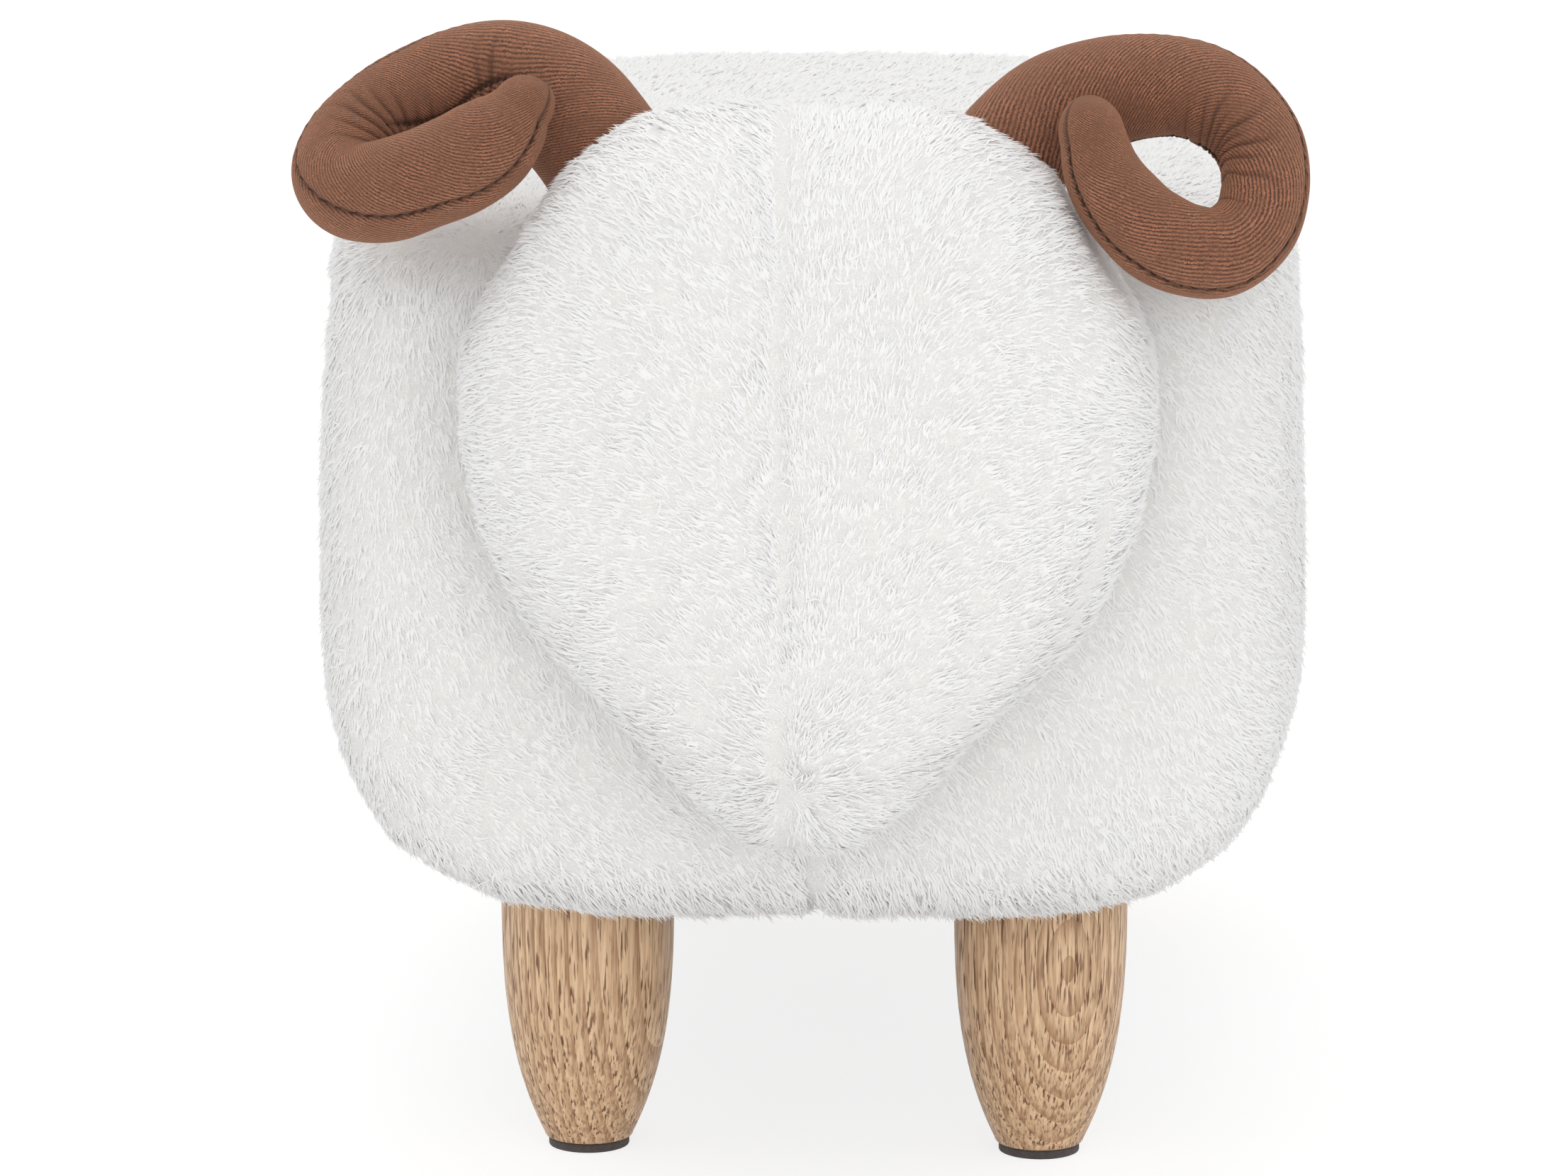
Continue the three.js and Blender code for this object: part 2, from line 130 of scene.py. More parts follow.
def power_property(name, description, watts):
    return FloatProperty(name=name, description=description, default=watts, unit="POWER")


# Forms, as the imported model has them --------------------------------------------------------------

# Right half of the body seen from the front: [share of half the width, share of the height]
BODY_OUTLINE = np.array([
    (0, 0),
    (0.35, 0.001),
    (0.55, 0.01),
    (0.66, 0.022),
    (0.72, 0.036),
    (0.79, 0.058),
    (0.87, 0.098),
    (0.928, 0.158),
    (0.968, 0.23),
    (0.993, 0.31),
    (1, 0.4),
    (0.996, 0.56),
    (0.99, 0.72),
    (0.978, 0.84),
    (0.962, 0.92),
    (0.9, 0.968),
    (0.75, 0.984),
    (0.4, 0.996),
    (0, 1),
])
BODY_ROUNDNESS = 10
# The form's lowest part falls in the opening underneath, so it lies below the cover's box
BODY_BELOW_COVER = 1 * MM

# Right half of the head seen from the front, from the muzzle up
HEAD_OUTLINE = np.array([
    (0, 0),
    (0.14, 0.012),
    (0.32, 0.074),
    (0.51, 0.161),
    (0.66, 0.231),
    (0.8, 0.306),
    (0.92, 0.417),
    (0.98, 0.512),
    (1, 0.6),
    (0.985, 0.67),
    (0.935, 0.735),
    (0.85, 0.8),
    (0.77, 0.865),
    (0.66, 0.93),
    (0.46, 0.98),
    (0.2, 0.997),
    (0, 1),
])
HEAD_ROUNDNESS = 2.9
HEAD_RIM_REACH = 26 * MM
HEAD_OVERLAP = 52 * MM

HORN_SPAN = 120 * MM
HORN_RISE = 100 * MM
HORN_DEPTH = 50 * MM
HORN_ROOT_THICKNESS = 40 * MM
HORN_ROOT_FROM_MIDDLE = 44 * MM
HORN_LOWEST = 298 * MM
HORN_FROM_FRONT = 4 * MM

# Run of each horn from its root: [share of the span outwards, of the depth forwards, of the rise,
# of the root's thickness]
RIGHT_HORN = np.array([
    (0.1, 0.1, 0.44, 1),
    (0.2, 0.06, 0.61, 1),
    (0.325, 0.03, 0.745, 0.975),
    (0.458, 0.02, 0.81, 0.89),
    (0.592, 0.04, 0.833, 0.83),
    (0.708, 0.1, 0.815, 0.79),
    (0.805, 0.2, 0.745, 0.755),
    (0.865, 0.32, 0.647, 0.725),
    (0.876, 0.45, 0.529, 0.7),
    (0.847, 0.56, 0.415, 0.7),
    (0.765, 0.65, 0.34, 0.72),
    (0.663, 0.72, 0.35, 0.73),
    (0.568, 0.77, 0.413, 0.715),
    (0.494, 0.8, 0.505, 0.69),
    (0.445, 0.79, 0.6, 0.63),
    (0.418, 0.77, 0.715, 0.53),
])
LEFT_HORN = np.array([
    (0.083, 0.1, 0.46, 1),
    (0.167, 0.02, 0.63, 1),
    (0.275, -0.08, 0.765, 0.985),
    (0.4, -0.15, 0.83, 0.96),
    (0.525, -0.16, 0.825, 0.93),
    (0.65, -0.11, 0.775, 0.89),
    (0.765, 0, 0.702, 0.85),
    (0.84, 0.16, 0.625, 0.81),
    (0.86, 0.34, 0.55, 0.77),
    (0.815, 0.5, 0.502, 0.76),
    (0.725, 0.6, 0.503, 0.765),
    (0.62, 0.65, 0.545, 0.77),
    (0.518, 0.67, 0.597, 0.765),
    (0.44, 0.68, 0.658, 0.715),
    (0.383, 0.68, 0.724, 0.6),
    (0.347, 0.67, 0.783, 0.44),
])

LEG_SWELL = 3.35
LEG_FOOT_DIAMETER = 31 * MM


# Numbers ------------------------------------------------------------------------------------------


def smoothstep(value, low, high):
    share = np.clip((value - low) / (high - low), 0, 1)
    return share * share * (3 - 2 * share)


def unit(vectors):
    return vectors / np.maximum(np.linalg.norm(vectors, axis=-1, keepdims=True), 1e-12)


def laid_across(vectors, normals):
    """Direction of the part of each vector that lies square to its normal."""
    return unit(vectors - normals * (vectors * normals).sum(axis=1, keepdims=True))


def groove(distance, width):
    """1 on a line and falling to nothing beside it, at that distance from it."""
    return np.exp(-((distance / width) ** 2))


# Large odd numbers that scramble a cell's place into a number that looks drawn by lot
AXIS_SCRAMBLE = np.array([73856093, 19349663, 83492791])
SEED_SCRAMBLE = 2654435761
LAST_SCRAMBLE = 1274126177


def noise(points, size, seed):
    """Smooth noise from -1 to 1 whose lumps are about that size."""
    scaled = np.asarray(points) / size
    cell = np.floor(scaled).astype(np.int64)
    blend = smoothstep(scaled - cell, 0, 1)
    total = np.zeros(len(scaled))
    for corner in range(8):
        step = np.array([corner & 1, corner >> 1 & 1, corner >> 2 & 1])
        key = (cell + step) @ AXIS_SCRAMBLE + seed * SEED_SCRAMBLE
        key = (key ^ (key >> 13)) * LAST_SCRAMBLE & 0xFFFFFFFF
        value = ((key ^ (key >> 16)) & 0xFFFF) / 32767.5 - 1
        total += value * np.prod(np.where(step, blend, 1 - blend), axis=1)
    return total


def smooth_line(points, steps):
    """A smooth line through the points, with that many steps from each to the next."""
    padded = np.vstack([2 * points[0] - points[1], points, 2 * points[-1] - points[-2]])
    line = []
    for before, start, end, after in zip(padded, padded[1:], padded[2:], padded[3:]):
        for share in np.arange(steps) / steps:
            line.append(
                start
                + 0.5 * share * (end - before)
                + share**2 * (before - 2.5 * start + 2 * end - 0.5 * after)
                + share**3 * (1.5 * (start - end) + 0.5 * (after - before))
            )
    return np.array([*line, points[-1]])


def distances_along(line):
    """How far each point of a line lies from its start; columns after the third aren't places."""
    steps = np.linalg.norm(np.diff(line[:, :3], axis=0), axis=1)
    return np.concatenate([[0], np.cumsum(steps)])


def spread_evenly(line, count):
    """The line again, with that many points at even distances."""
    run = distances_along(line)
    wanted = np.linspace(0, run[-1], count)
    return np.stack([np.interp(wanted, run, column) for column in line.T], axis=1)


OUTLINE_STEPS = 12
ANGLE_POINTS = 720
PERIMETER_POINTS = 200
PROFILE_POINTS = 4001


class StuffedForm:
    """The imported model's soft form: an outline in X and Z that closes in front and behind."""

    def __init__(self, outline, middle, width, bottom, top, front, rim, rear, roundness):
        self.shares = outline
        self.middle, self.width, self.bottom, self.top = middle, width, bottom, top
        self.front, self.rim, self.rear, self.roundness = front, rim, rear, roundness
        self.height = (bottom + top) / 2
        ring = self.outline(ANGLE_POINTS)
        angle = np.arctan2(ring[:, 1] - self.height, ring[:, 0] - middle)
        order = np.argsort(angle)
        self.angles = angle[order]
        self.radii = np.hypot(ring[:, 0] - middle, ring[:, 1] - self.height)[order]

    def drawn_in(self, inset):
        return StuffedForm(
            self.shares,
            self.middle,
            self.width - 2 * inset,
            self.bottom + inset,
            self.top - inset,
            self.front + inset,
            self.rim,
            self.rear - inset,
            self.roundness,
        )

    def outline(self, count):
        """The closed outline in X and Z, evenly spaced from the lowest point up the right side."""
        size = np.array([self.width / 2, self.top - self.bottom])
        half = smooth_line(self.shares * size + (0, self.bottom), OUTLINE_STEPS)
        half = spread_evenly(half, count // 2 + 1)
        left = half[-2:0:-1] * (-1, 1)
        return np.vstack([half, left]) + (self.middle, 0)

    def level(self, points):
        """Below 1 inside the form, and above 1 outside it."""
        across, up = points[:, 0] - self.middle, points[:, 2] - self.height
        radius = np.interp(
            np.arctan2(up, across), self.angles, self.radii, period=2 * math.pi
        )
        along = points[:, 1] - self.rim
        depth = np.where(along < 0, self.rim - self.front, self.rear - self.rim)
        power = self.roundness
        return (
            np.abs(np.hypot(across, up) / radius) ** power + np.abs(along / depth) ** power
        ) ** (1 / power)

    def grid(self, cell):
        """Points of the surface in rings from the front to the rear, about a cell apart."""
        ring = self.outline(2 * round(self.perimeter() / cell / 2))
        angle = np.linspace(-math.pi / 2, math.pi / 2, PROFILE_POINTS)
        run = np.sign(angle) * np.abs(np.sin(angle)) ** (2 / self.roundness)
        share = np.clip(np.cos(angle), 0, 1) ** (2 / self.roundness)
        along = self.rim + np.where(angle < 0, self.rim - self.front, self.rear - self.rim) * run
        profile = np.stack([along, share * self.width / 2], axis=1)
        length = np.linalg.norm(np.diff(profile, axis=0), axis=1).sum()
        profile = spread_evenly(profile, round(length / cell) + 1)
        shares = profile[:, 1] / (self.width / 2)
        centre = np.array([self.middle, self.height])
        flat = centre + (ring[None] - centre) * shares[:, None, None]
        depth = np.repeat(profile[:, :1], len(ring), axis=1)
        return np.stack([flat[..., 0], depth, flat[..., 1]], axis=-1)

    def perimeter(self):
        ring = self.outline(PERIMETER_POINTS)
        return np.linalg.norm(ring - np.roll(ring, 1, axis=0), axis=1).sum()


def grid_normals(grid):
    """Outward normals of a grid of rings."""
    around = np.roll(grid, -1, axis=1) - np.roll(grid, 1, axis=1)
    along = np.gradient(grid, axis=0)
    normals = np.cross(along, around)
    normals[0], normals[-1] = (0, -1, 0), (0, 1, 0)
    return unit(normals)


def body_form():
    low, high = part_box("body_cover")
    return StuffedForm(
        BODY_OUTLINE,
        (low.x + high.x) / 2,
        high.x - low.x,
        low.z - BODY_BELOW_COVER,
        high.z,
        low.y,
        (low.y + high.y) / 2,
        high.y,
        BODY_ROUNDNESS,
    )


def head_form():
    low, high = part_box("head_cover")
    body_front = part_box("body_cover")[0].y
    return StuffedForm(
        HEAD_OUTLINE,
        (low.x + high.x) / 2,
        high.x - low.x,
        low.z,
        high.z,
        low.y,
        body_front - HEAD_RIM_REACH,
        body_front + HEAD_OVERLAP,
        HEAD_ROUNDNESS,
    )


HORN_STEPS = 22


def horn_run(shares, side):
    """Middle line and radius of a horn, evenly spaced from its root to the start of its tip."""
    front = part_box("body_cover")[0].y - HORN_FROM_FRONT
    rows = np.stack(
        [
            side * (HORN_ROOT_FROM_MIDDLE + shares[:, 0] * HORN_SPAN),
            front - shares[:, 1] * HORN_DEPTH,
            HORN_LOWEST + shares[:, 2] * HORN_RISE,
            shares[:, 3] * HORN_ROOT_THICKNESS / 2,
        ],
        axis=1,
    )
    line = smooth_line(rows, HORN_STEPS)
    return spread_evenly(line, len(line))


# Meshes -------------------------------------------------------------------------------------------


def add_object(name, mesh, *materials):
    made = bpy.data.objects.new(name, mesh)
    bpy.context.scene.collection.objects.link(made)
    for material in materials:
        mesh.materials.append(material)
    return made


def add_piece(name, mesh, slot, *materials, replaced=()):
    """A piece of the footstool: it rides on the one body and stands for the named nodes."""
    made = add_object(name, mesh, *materials)
    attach(made, BODY)
    if replaced:
        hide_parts(*replaced)
    return made


def mesh_from_faces(name, points, faces):
    mesh = bpy.data.meshes.new(name)
    mesh.from_pydata(np.asarray(points).tolist(), [], faces)
    mesh.shade_smooth()
    return mesh


def set_values(mesh, name, values):
    """A number for each vertex of the mesh, for a material to read."""
    attribute = mesh.attributes.new(name, "FLOAT", "POINT")
    attribute.data.foreach_set("value", values.astype(np.float32))


def ring_faces(rings, count, first=0):
    """Four-sided faces between rings of that many points, for rings that run along their axis."""
    ring, side = np.meshgrid(np.arange(rings - 1), np.arange(count), indexing="ij")
    near = first + ring * count + side
    ahead = first + ring * count + (side + 1) % count
    return np.stack([near, ahead, ahead + count, near + count], axis=-1).reshape(-1, 4)


def closed_grid(grid):
    """Points and faces of a grid whose first and last rings are drawn to a point."""
    count = grid.shape[1]
    inner = grid[1:-1]
    points = np.vstack([inner.reshape(-1, 3), grid[0, :1], grid[-1, :1]])
    start, end = len(points) - 2, len(points) - 1
    last = (len(inner) - 1) * count
    faces = ring_faces(len(inner), count)[:, ::-1].tolist()
    for side in range(count):
        ahead = (side + 1) % count
        faces.append([start, side, ahead])
        faces.append([end, last + ahead, last + side])
    return points, faces


def turned_mesh(name, profile, sides, centre):
    """A round solid on a vertical axis from [radius, height] points, closed at both ends."""
    angle = 2 * math.pi * np.arange(sides) / sides
    points = [
        (centre.x + radius * math.cos(a), centre.y + radius * math.sin(a), height)
        for radius, height in profile
        for a in angle
    ]
    faces = ring_faces(len(profile), sides).tolist()
    faces.append(list(range(sides))[::-1])
    faces.append([len(points) - sides + side for side in range(sides)])
    mesh = mesh_from_faces(name, points, faces)
    mesh.polygons[len(faces) - 2].use_smooth = False
    mesh.polygons[len(faces) - 1].use_smooth = False
    return mesh


# Materials ----------------------------------------------------------------------------------------


def new_material(name, roughness, sheen=0.0, metallic=0.0, sheen_roughness=0.5):
    """A material with only its shader, whose even values are set on the shader's own sockets."""
    material = bpy.data.materials.new(name)
    material.use_nodes = True
    shader = material.node_tree.nodes["Principled BSDF"]
    shader.inputs["Roughness"].default_value = roughness
    shader.inputs["Metallic"].default_value = metallic
    shader.inputs["Sheen Weight"].default_value = sheen
    shader.inputs["Sheen Roughness"].default_value = sheen_roughness
    return material, shader


def add_node(tree, kind, **values):
    """A node with its settings by name, and inputs by socket name where no setting has it."""
    node = tree.nodes.new(kind)
    for name, value in values.items():
        if hasattr(node, name):
            setattr(node, name, value)
        else:
            node.inputs[name.replace("_", " ")].default_value = value
    return node


def mixed(tree, factor, first, second):
    """A colour mix; each of its inputs is a socket or a fixed value."""
    node = tree.nodes.new("ShaderNodeMix")
    node.data_type = "RGBA"
    for slot, value in ((0, factor), (6, first), (7, second)):
        if isinstance(value, bpy.types.NodeSocket):
            tree.links.new(value, node.inputs[slot])
        elif slot == 0:
            node.inputs[slot].default_value = value
        else:
            node.inputs[slot].default_value = (*value, 1)
    return node.outputs[2]


def ranged(tree, value, low, high, new_low=0.0, new_high=1.0):
    node = add_node(tree, "ShaderNodeMapRange")
    tree.links.new(value, node.inputs["Value"])
    for name, number in (
        ("From Min", low),
        ("From Max", high),
        ("To Min", new_low),
        ("To Max", new_high),
    ):
        node.inputs[name].default_value = number
    return node.outputs["Result"]


def computed(tree, operation, first, second=None):
    node = add_node(tree, "ShaderNodeMath", operation=operation)
    for slot, value in enumerate((first, second)):
        if isinstance(value, bpy.types.NodeSocket):
            tree.links.new(value, node.inputs[slot])
        elif value is not None:
            node.inputs[slot].default_value = value
    return node.outputs[0]


def bump(tree, shader, height, distance):
    node = add_node(tree, "ShaderNodeBump", Distance=distance, Strength=1.0)
    tree.links.new(height, node.inputs["Height"])
    tree.links.new(node.outputs["Normal"], shader.inputs["Normal"])


def seen_straight(tree):
    """1 where the camera, a gloss or glass sees the surface, and 0 for the light it sends on."""
    path = add_node(tree, "ShaderNodeLightPath")
    seen = computed(tree, "MAXIMUM", path.outputs["Is Camera Ray"], path.outputs["Is Glossy Ray"])
    return computed(tree, "MAXIMUM", seen, path.outputs["Is Transmission Ray"])


def new_group(name, inputs, outputs):
    """A shader node group: inputs are (name, socket type, default), outputs the first two."""
    group = bpy.data.node_groups.new(name, "ShaderNodeTree")
    for label, kind, default in inputs:
        socket = group.interface.new_socket(label, in_out="INPUT", socket_type=kind)
        socket.default_value = default
    for label, kind in outputs:
        group.interface.new_socket(label, in_out="OUTPUT", socket_type=kind)
    entry = group.nodes.new("NodeGroupInput")
    leaving = group.nodes.new("NodeGroupOutput")
    return group, entry, leaving


def placed_group(tree, group, **values):
    node = tree.nodes.new("ShaderNodeGroup")
    node.node_tree = group
    for name, value in values.items():
        node.inputs[name.replace("_", " ")].default_value = value
    return node


# Most of a noise texture's values lie between these
NOISE_RANGE = (0.35, 0.65)


def mottle_group():
    """Two colours mixed in soft clouds with fine fibres over them, for cloth, felt and foam."""
    name = "fibre_mottle"
    if name in bpy.data.node_groups:
        return bpy.data.node_groups[name]
    group, entry, leaving = new_group(
        name,
        [
            ("Light", "NodeSocketColor", (1, 1, 1, 1)),
            ("Dark", "NodeSocketColor", (0, 0, 0, 1)),
            ("Cloud Scale", "NodeSocketFloat", 60.0),
            ("Fibre Scale", "NodeSocketFloat", 900.0),
        ],
        [("Colour", "NodeSocketColor"), ("Height", "NodeSocketFloat")],
    )
    place = add_node(group, "ShaderNodeTexCoord")
    cloud = add_node(group, "ShaderNodeTexNoise", Detail=3.0)
    fibre = add_node(group, "ShaderNodeTexNoise", Detail=4.0, Distortion=1.5)
    for noise_node, scale in ((cloud, "Cloud Scale"), (fibre, "Fibre Scale")):
        group.links.new(place.outputs["Object"], noise_node.inputs["Vector"])
        group.links.new(entry.outputs[scale], noise_node.inputs["Scale"])
    soft = ranged(group, cloud.outputs["Fac"], *NOISE_RANGE)
    fine = ranged(group, fibre.outputs["Fac"], *NOISE_RANGE)
    halves = [computed(group, "MULTIPLY", part, 0.5) for part in (soft, fine)]
    share = computed(group, "ADD", *halves)
    colour = mixed(group, share, entry.outputs["Dark"], entry.outputs["Light"])
    group.links.new(colour, leaving.inputs["Colour"])
    group.links.new(share, leaving.inputs["Height"])
    return group


# Each texture of the wood: [scale, detail, how far it is drawn out along the grain]
DRIFT = (28.0, 2.0, 0.3)
STREAKS = (900.0, 4.0, 0.035)
PORES = (1250.0, 2.0, 0.07)
STREAK_RANGE = (0.38, 0.62)
PORE_RANGE = (0.52, 0.62)
LATE_WOOD_POWER = 2.4


def grain_group():
    """Wood cut beside its pith: wandering rings, with short dark pores along the grain."""
    name = "wood_grain"
    if name in bpy.data.node_groups:
        return bpy.data.node_groups[name]
    group, entry, leaving = new_group(
        name,
        [
            ("Light", "NodeSocketColor", (1, 1, 1, 1)),
            ("Dark", "NodeSocketColor", (0, 0, 0, 1)),
            ("Pore", "NodeSocketColor", (0, 0, 0, 1)),
            ("Pith", "NodeSocketVector", (0, 0, 0)),
            ("Run", "NodeSocketVector", (1, 1, 0.05)),
            ("Rings", "NodeSocketFloat", 300.0),
            ("Wander", "NodeSocketFloat", 0.01),
        ],
        [
            ("Colour", "NodeSocketColor"),
            ("Roughness", "NodeSocketFloat"),
            ("Height", "NodeSocketFloat"),
        ],
    )
    place = add_node(group, "ShaderNodeTexCoord")

    def vector_math(operation, first, second):
        node = add_node(group, "ShaderNodeVectorMath", operation=operation)
        for slot, value in enumerate((first, second)):
            if isinstance(value, bpy.types.NodeSocket):
                group.links.new(value, node.inputs[slot])
            else:
                node.inputs[slot].default_value = value
        return node

    def long_noise(scale, detail, stretch):
        spot = vector_math("MULTIPLY", place.outputs["Object"], (1, 1, stretch))
        node = add_node(group, "ShaderNodeTexNoise", Scale=scale, Detail=detail)
        group.links.new(spot.outputs[0], node.inputs["Vector"])
        return node.outputs["Fac"]

    from_pith = vector_math("SUBTRACT", place.outputs["Object"], entry.outputs["Pith"])
    squeezed = vector_math("MULTIPLY", from_pith.outputs[0], entry.outputs["Run"])
    distance = vector_math("LENGTH", squeezed.outputs[0], (0, 0, 0)).outputs["Value"]
    drift = computed(group, "SUBTRACT", long_noise(*DRIFT), 0.5)
    drift = computed(group, "MULTIPLY", drift, entry.outputs["Wander"])
    wandered = computed(group, "ADD", distance, drift)
    ring = computed(
        group, "FRACT", computed(group, "MULTIPLY", wandered, entry.outputs["Rings"])
    )
    late = computed(group, "POWER", ring, LATE_WOOD_POWER)
    streaks = ranged(group, long_noise(*STREAKS), *STREAK_RANGE)
    between_rings = ranged(group, ring, 0.1, 0.9, 1.0, 0.35)
    pores = ranged(group, long_noise(*PORES), *PORE_RANGE)
    pores = computed(group, "MULTIPLY", pores, between_rings)
    late = computed(group, "MULTIPLY", late, 0.6)
    streaks = computed(group, "MULTIPLY", streaks, 0.5)
    share = computed(group, "ADD", late, streaks)
    wood = mixed(group, share, entry.outputs["Light"], entry.outputs["Dark"])
    wood = mixed(group, pores, wood, entry.outputs["Pore"])
    group.links.new(wood, leaving.inputs["Colour"])
    group.links.new(ranged(group, pores, 0, 1, 0.42, 0.65), leaving.inputs["Roughness"])
    group.links.new(
        computed(group, "SUBTRACT", computed(group, "MULTIPLY", share, 0.25), pores),
        leaving.inputs["Height"],
    )
    return group


def mottled_material(name, light, dark, roughness, cloud, fibre, depth=0.3 * MM, sheen=0.0):
    """Matt cloth, felt or foam in two close colours."""
    material, shader = new_material(name, roughness, sheen)
    tree = material.node_tree
    node = placed_group(
        tree,
        mottle_group(),
        Light=(*light, 1),
        Dark=(*dark, 1),
        Cloud_Scale=cloud,
        Fibre_Scale=fibre,
    )
    tree.links.new(node.outputs["Colour"], shader.inputs["Base Color"])
    bump(tree, shader, node.outputs["Height"], depth)
    return material


def wood_material(name, light, dark, pore, pith, run, rings, wander):
    material, shader = new_material(name, 0.45)
    tree = material.node_tree
    node = placed_group(
        tree,
        grain_group(),
        Light=(*light, 1),
        Dark=(*dark, 1),
        Pore=(*pore, 1),
        Pith=pith,
        Run=run,
        Rings=rings,
        Wander=wander,
    )
    tree.links.new(node.outputs["Colour"], shader.inputs["Base Color"])
    tree.links.new(node.outputs["Roughness"], shader.inputs["Roughness"])
    bump(tree, shader, node.outputs["Height"], 0.12 * MM)
    return material


def steel_material(light, dark):
    """Zinc-plated steel, cloudy in tone and polish."""
    material, shader = new_material("zinc_plate", 0.35, metallic=1.0)
    tree = material.node_tree
    node = placed_group(
        tree,
        mottle_group(),
        Light=(*light, 1),
        Dark=(*dark, 1),
        Cloud_Scale=220.0,
        Fibre_Scale=1600.0,
    )
    tree.links.new(node.outputs["Colour"], shader.inputs["Base Color"])
    tree.links.new(
        ranged(tree, node.outputs["Height"], 0, 1, 0.28, 0.45), shader.inputs["Roughness"]
    )
    return material


# Share of a strand over which its root's colour, painted shade down among the roots, fades out, and
# how much of it a tint brings back
ROOT_REACH = 0.75
TINT_SHARE = 0.3


def pile_material(settings):
    """Plush locks: a little darker at the root, painted shade down among the strands, near white at
    the tip, each with its own tint.
    """
    material, shader = new_material("plush_pile", 0.85, sheen=0.4)
    tree = material.node_tree
    along = add_node(tree, "ShaderNodeAttribute", attribute_name="pile_along")
    tint = add_node(tree, "ShaderNodeAttribute", attribute_name="pile_tint")
    depth = ranged(tree, along.outputs["Fac"], 0.0, ROOT_REACH)
    colour = mixed(tree, depth, settings.root_colour, settings.tip_colour)
    shade = ranged(tree, tint.outputs["Fac"], -1, 1, 0.0, TINT_SHARE)
    tree.links.new(
        mixed(tree, shade, colour, settings.root_colour), shader.inputs["Base Color"]
    )
    return material


SHEEN_TINT = srgb(255, 190, 150)
# How dark the cloth's clouds are, and the painted shadow at the bottom of its seams and creases
# beside the shade colour
CLOUD_SHARE = 0.42
SEAM_CREASE_SHADOW_SHARE = 0.55
SEAM_CREASE_SHADOW_STRENGTH = 0.75
# How far, in radians, the fibres push the ribs about, and the share of a rib that is its valley,
# which is painted with shade
RIB_WANDER = 5.0
VALLEY_WIDTH = 0.85
# The painted shade of the valleys breaks off where the fibres' height runs through this range, down
# to this strength
BREAK_RANGE = (0.2, 0.6)
BREAK_STRENGTH = 0.5
FIBRE_HEIGHT = 0.6
RIB_HEIGHT = 0.2 * MM


def velvet_material(settings):
    """Ribbed velvet: fine slanting ribs along the tube with painted shade between them, painted
    shadow in the seams and creases, a soft sheen.
    """
    material, shader = new_material("brown_rib_velvet", 0.8, sheen=0.42, sheen_roughness=0.45)
    shader.inputs["Sheen Tint"].default_value = (*SHEEN_TINT, 1)
    tree = material.node_tree
    place = add_node(tree, "ShaderNodeUVMap", uv_map="cloth_metres")
    parts = add_node(tree, "ShaderNodeSeparateXYZ")
    tree.links.new(place.outputs["UV"], parts.inputs[0])
    node = placed_group(
        tree,
        mottle_group(),
        Light=(*settings.cloth_colour, 1),
        Dark=(*shaded(settings.cloth_colour, CLOUD_SHARE), 1),
        Cloud_Scale=110.0,
        Fibre_Scale=900.0,
    )
    turns = 2 * math.pi / settings.rib_spacing
    slant = computed(tree, "ADD", parts.outputs["X"], parts.outputs["Y"])
    slant = computed(tree, "MULTIPLY", slant, turns)
    wander = computed(tree, "MULTIPLY", node.outputs["Height"], RIB_WANDER)
    slant = computed(tree, "ADD", slant, wander)
    ribs = ranged(tree, computed(tree, "SINE", slant), -1, 1)
    broken = ranged(tree, node.outputs["Height"], *BREAK_RANGE, BREAK_STRENGTH, 1.0)
    # Rib valleys mixed toward the shade colour: painted shade between the ribs
    painted_valley_shade = computed(tree, "MULTIPLY", ranged(tree, ribs, 0.0, VALLEY_WIDTH, 1.0, 0.0), broken)
    colour = mixed(tree, painted_valley_shade, node.outputs["Colour"], settings.shade_colour)
    # Painted shadow in the seams and creases, read from the mesh's cloth_shadow values
    shadow = add_node(tree, "ShaderNodeAttribute", attribute_name="cloth_shadow")
    dark = computed(tree, "MULTIPLY", shadow.outputs["Fac"], SEAM_CREASE_SHADOW_STRENGTH)
    deep = shaded(settings.shade_colour, SEAM_CREASE_SHADOW_SHARE)
    tree.links.new(mixed(tree, dark, colour, deep), shader.inputs["Base Color"])
    fibres = computed(tree, "MULTIPLY", node.outputs["Height"], FIBRE_HEIGHT)
    bump(tree, shader, computed(tree, "ADD", ribs, fibres), RIB_HEIGHT)
    return material


# Settings -----------------------------------------------------------------------------------------


class PlushSettings(bpy.types.PropertyGroup):
    backing_inset: length_property(
        "Backing inset", "How far the cloth under the pile lies inside the cover's surface", 1.3
    )
    head_inset: length_property("Head inset", "How much further in the head's backing lies", 1.0)
    root_depth: length_property("Root depth", "How deep in the backing the strands start", 1.5)
    pile_length: length_property("Pile length", "Length of one strand along its curve", 9.0)
    fringe_length: length_property(
        "Fringe length", "Length of the strands round the underside", 13.0
    )
    front_spacing: length_property(
        "Front tufts", "Distance between tufts on the head and front", 2.6
    )
    rest_spacing: length_property("Other tufts", "Distance between tufts on the other sides", 3.4)
    front_width: length_property("Front strand", "Width of a strand on the head and front", 0.85)
    rest_width: length_property("Other strand", "Width of a strand on the other sides", 1.3)
    wave: length_property("Wave", "How far a strand waves to each side", 0.55)
    lean: angle_property(
        "Lean", "How far the strands lie over, from upright, halfway along", 80
    )
    bend: angle_property(
        "Bend", "How much further over a strand lies at its tip than at its root", 16
    )
    tuft_pull: FloatProperty(
        name="Tuft pull",
        description="How strongly the strands of a tuft draw together at their tips",
        default=0.42,
        min=0,
        max=1,
        subtype="FACTOR",
    )
    seed: IntProperty(name="Seed", description="Changes how the tufts fall", default=7)
    # The root colour is painted shade down among the strands' roots, a little darker than the tip;
    # the backing takes it as its lighter colour
    root_colour: colour_property("Root colour", "Colour of the pile at its root", 248, 247, 244)
    tip_colour: colour_property("Tip colour", "Colour of the pile at its tips", 251, 251, 251)
    cloth_colour: colour_property(
        "Backing colour", "Knitted cloth that holds the pile", 239, 238, 236
    )


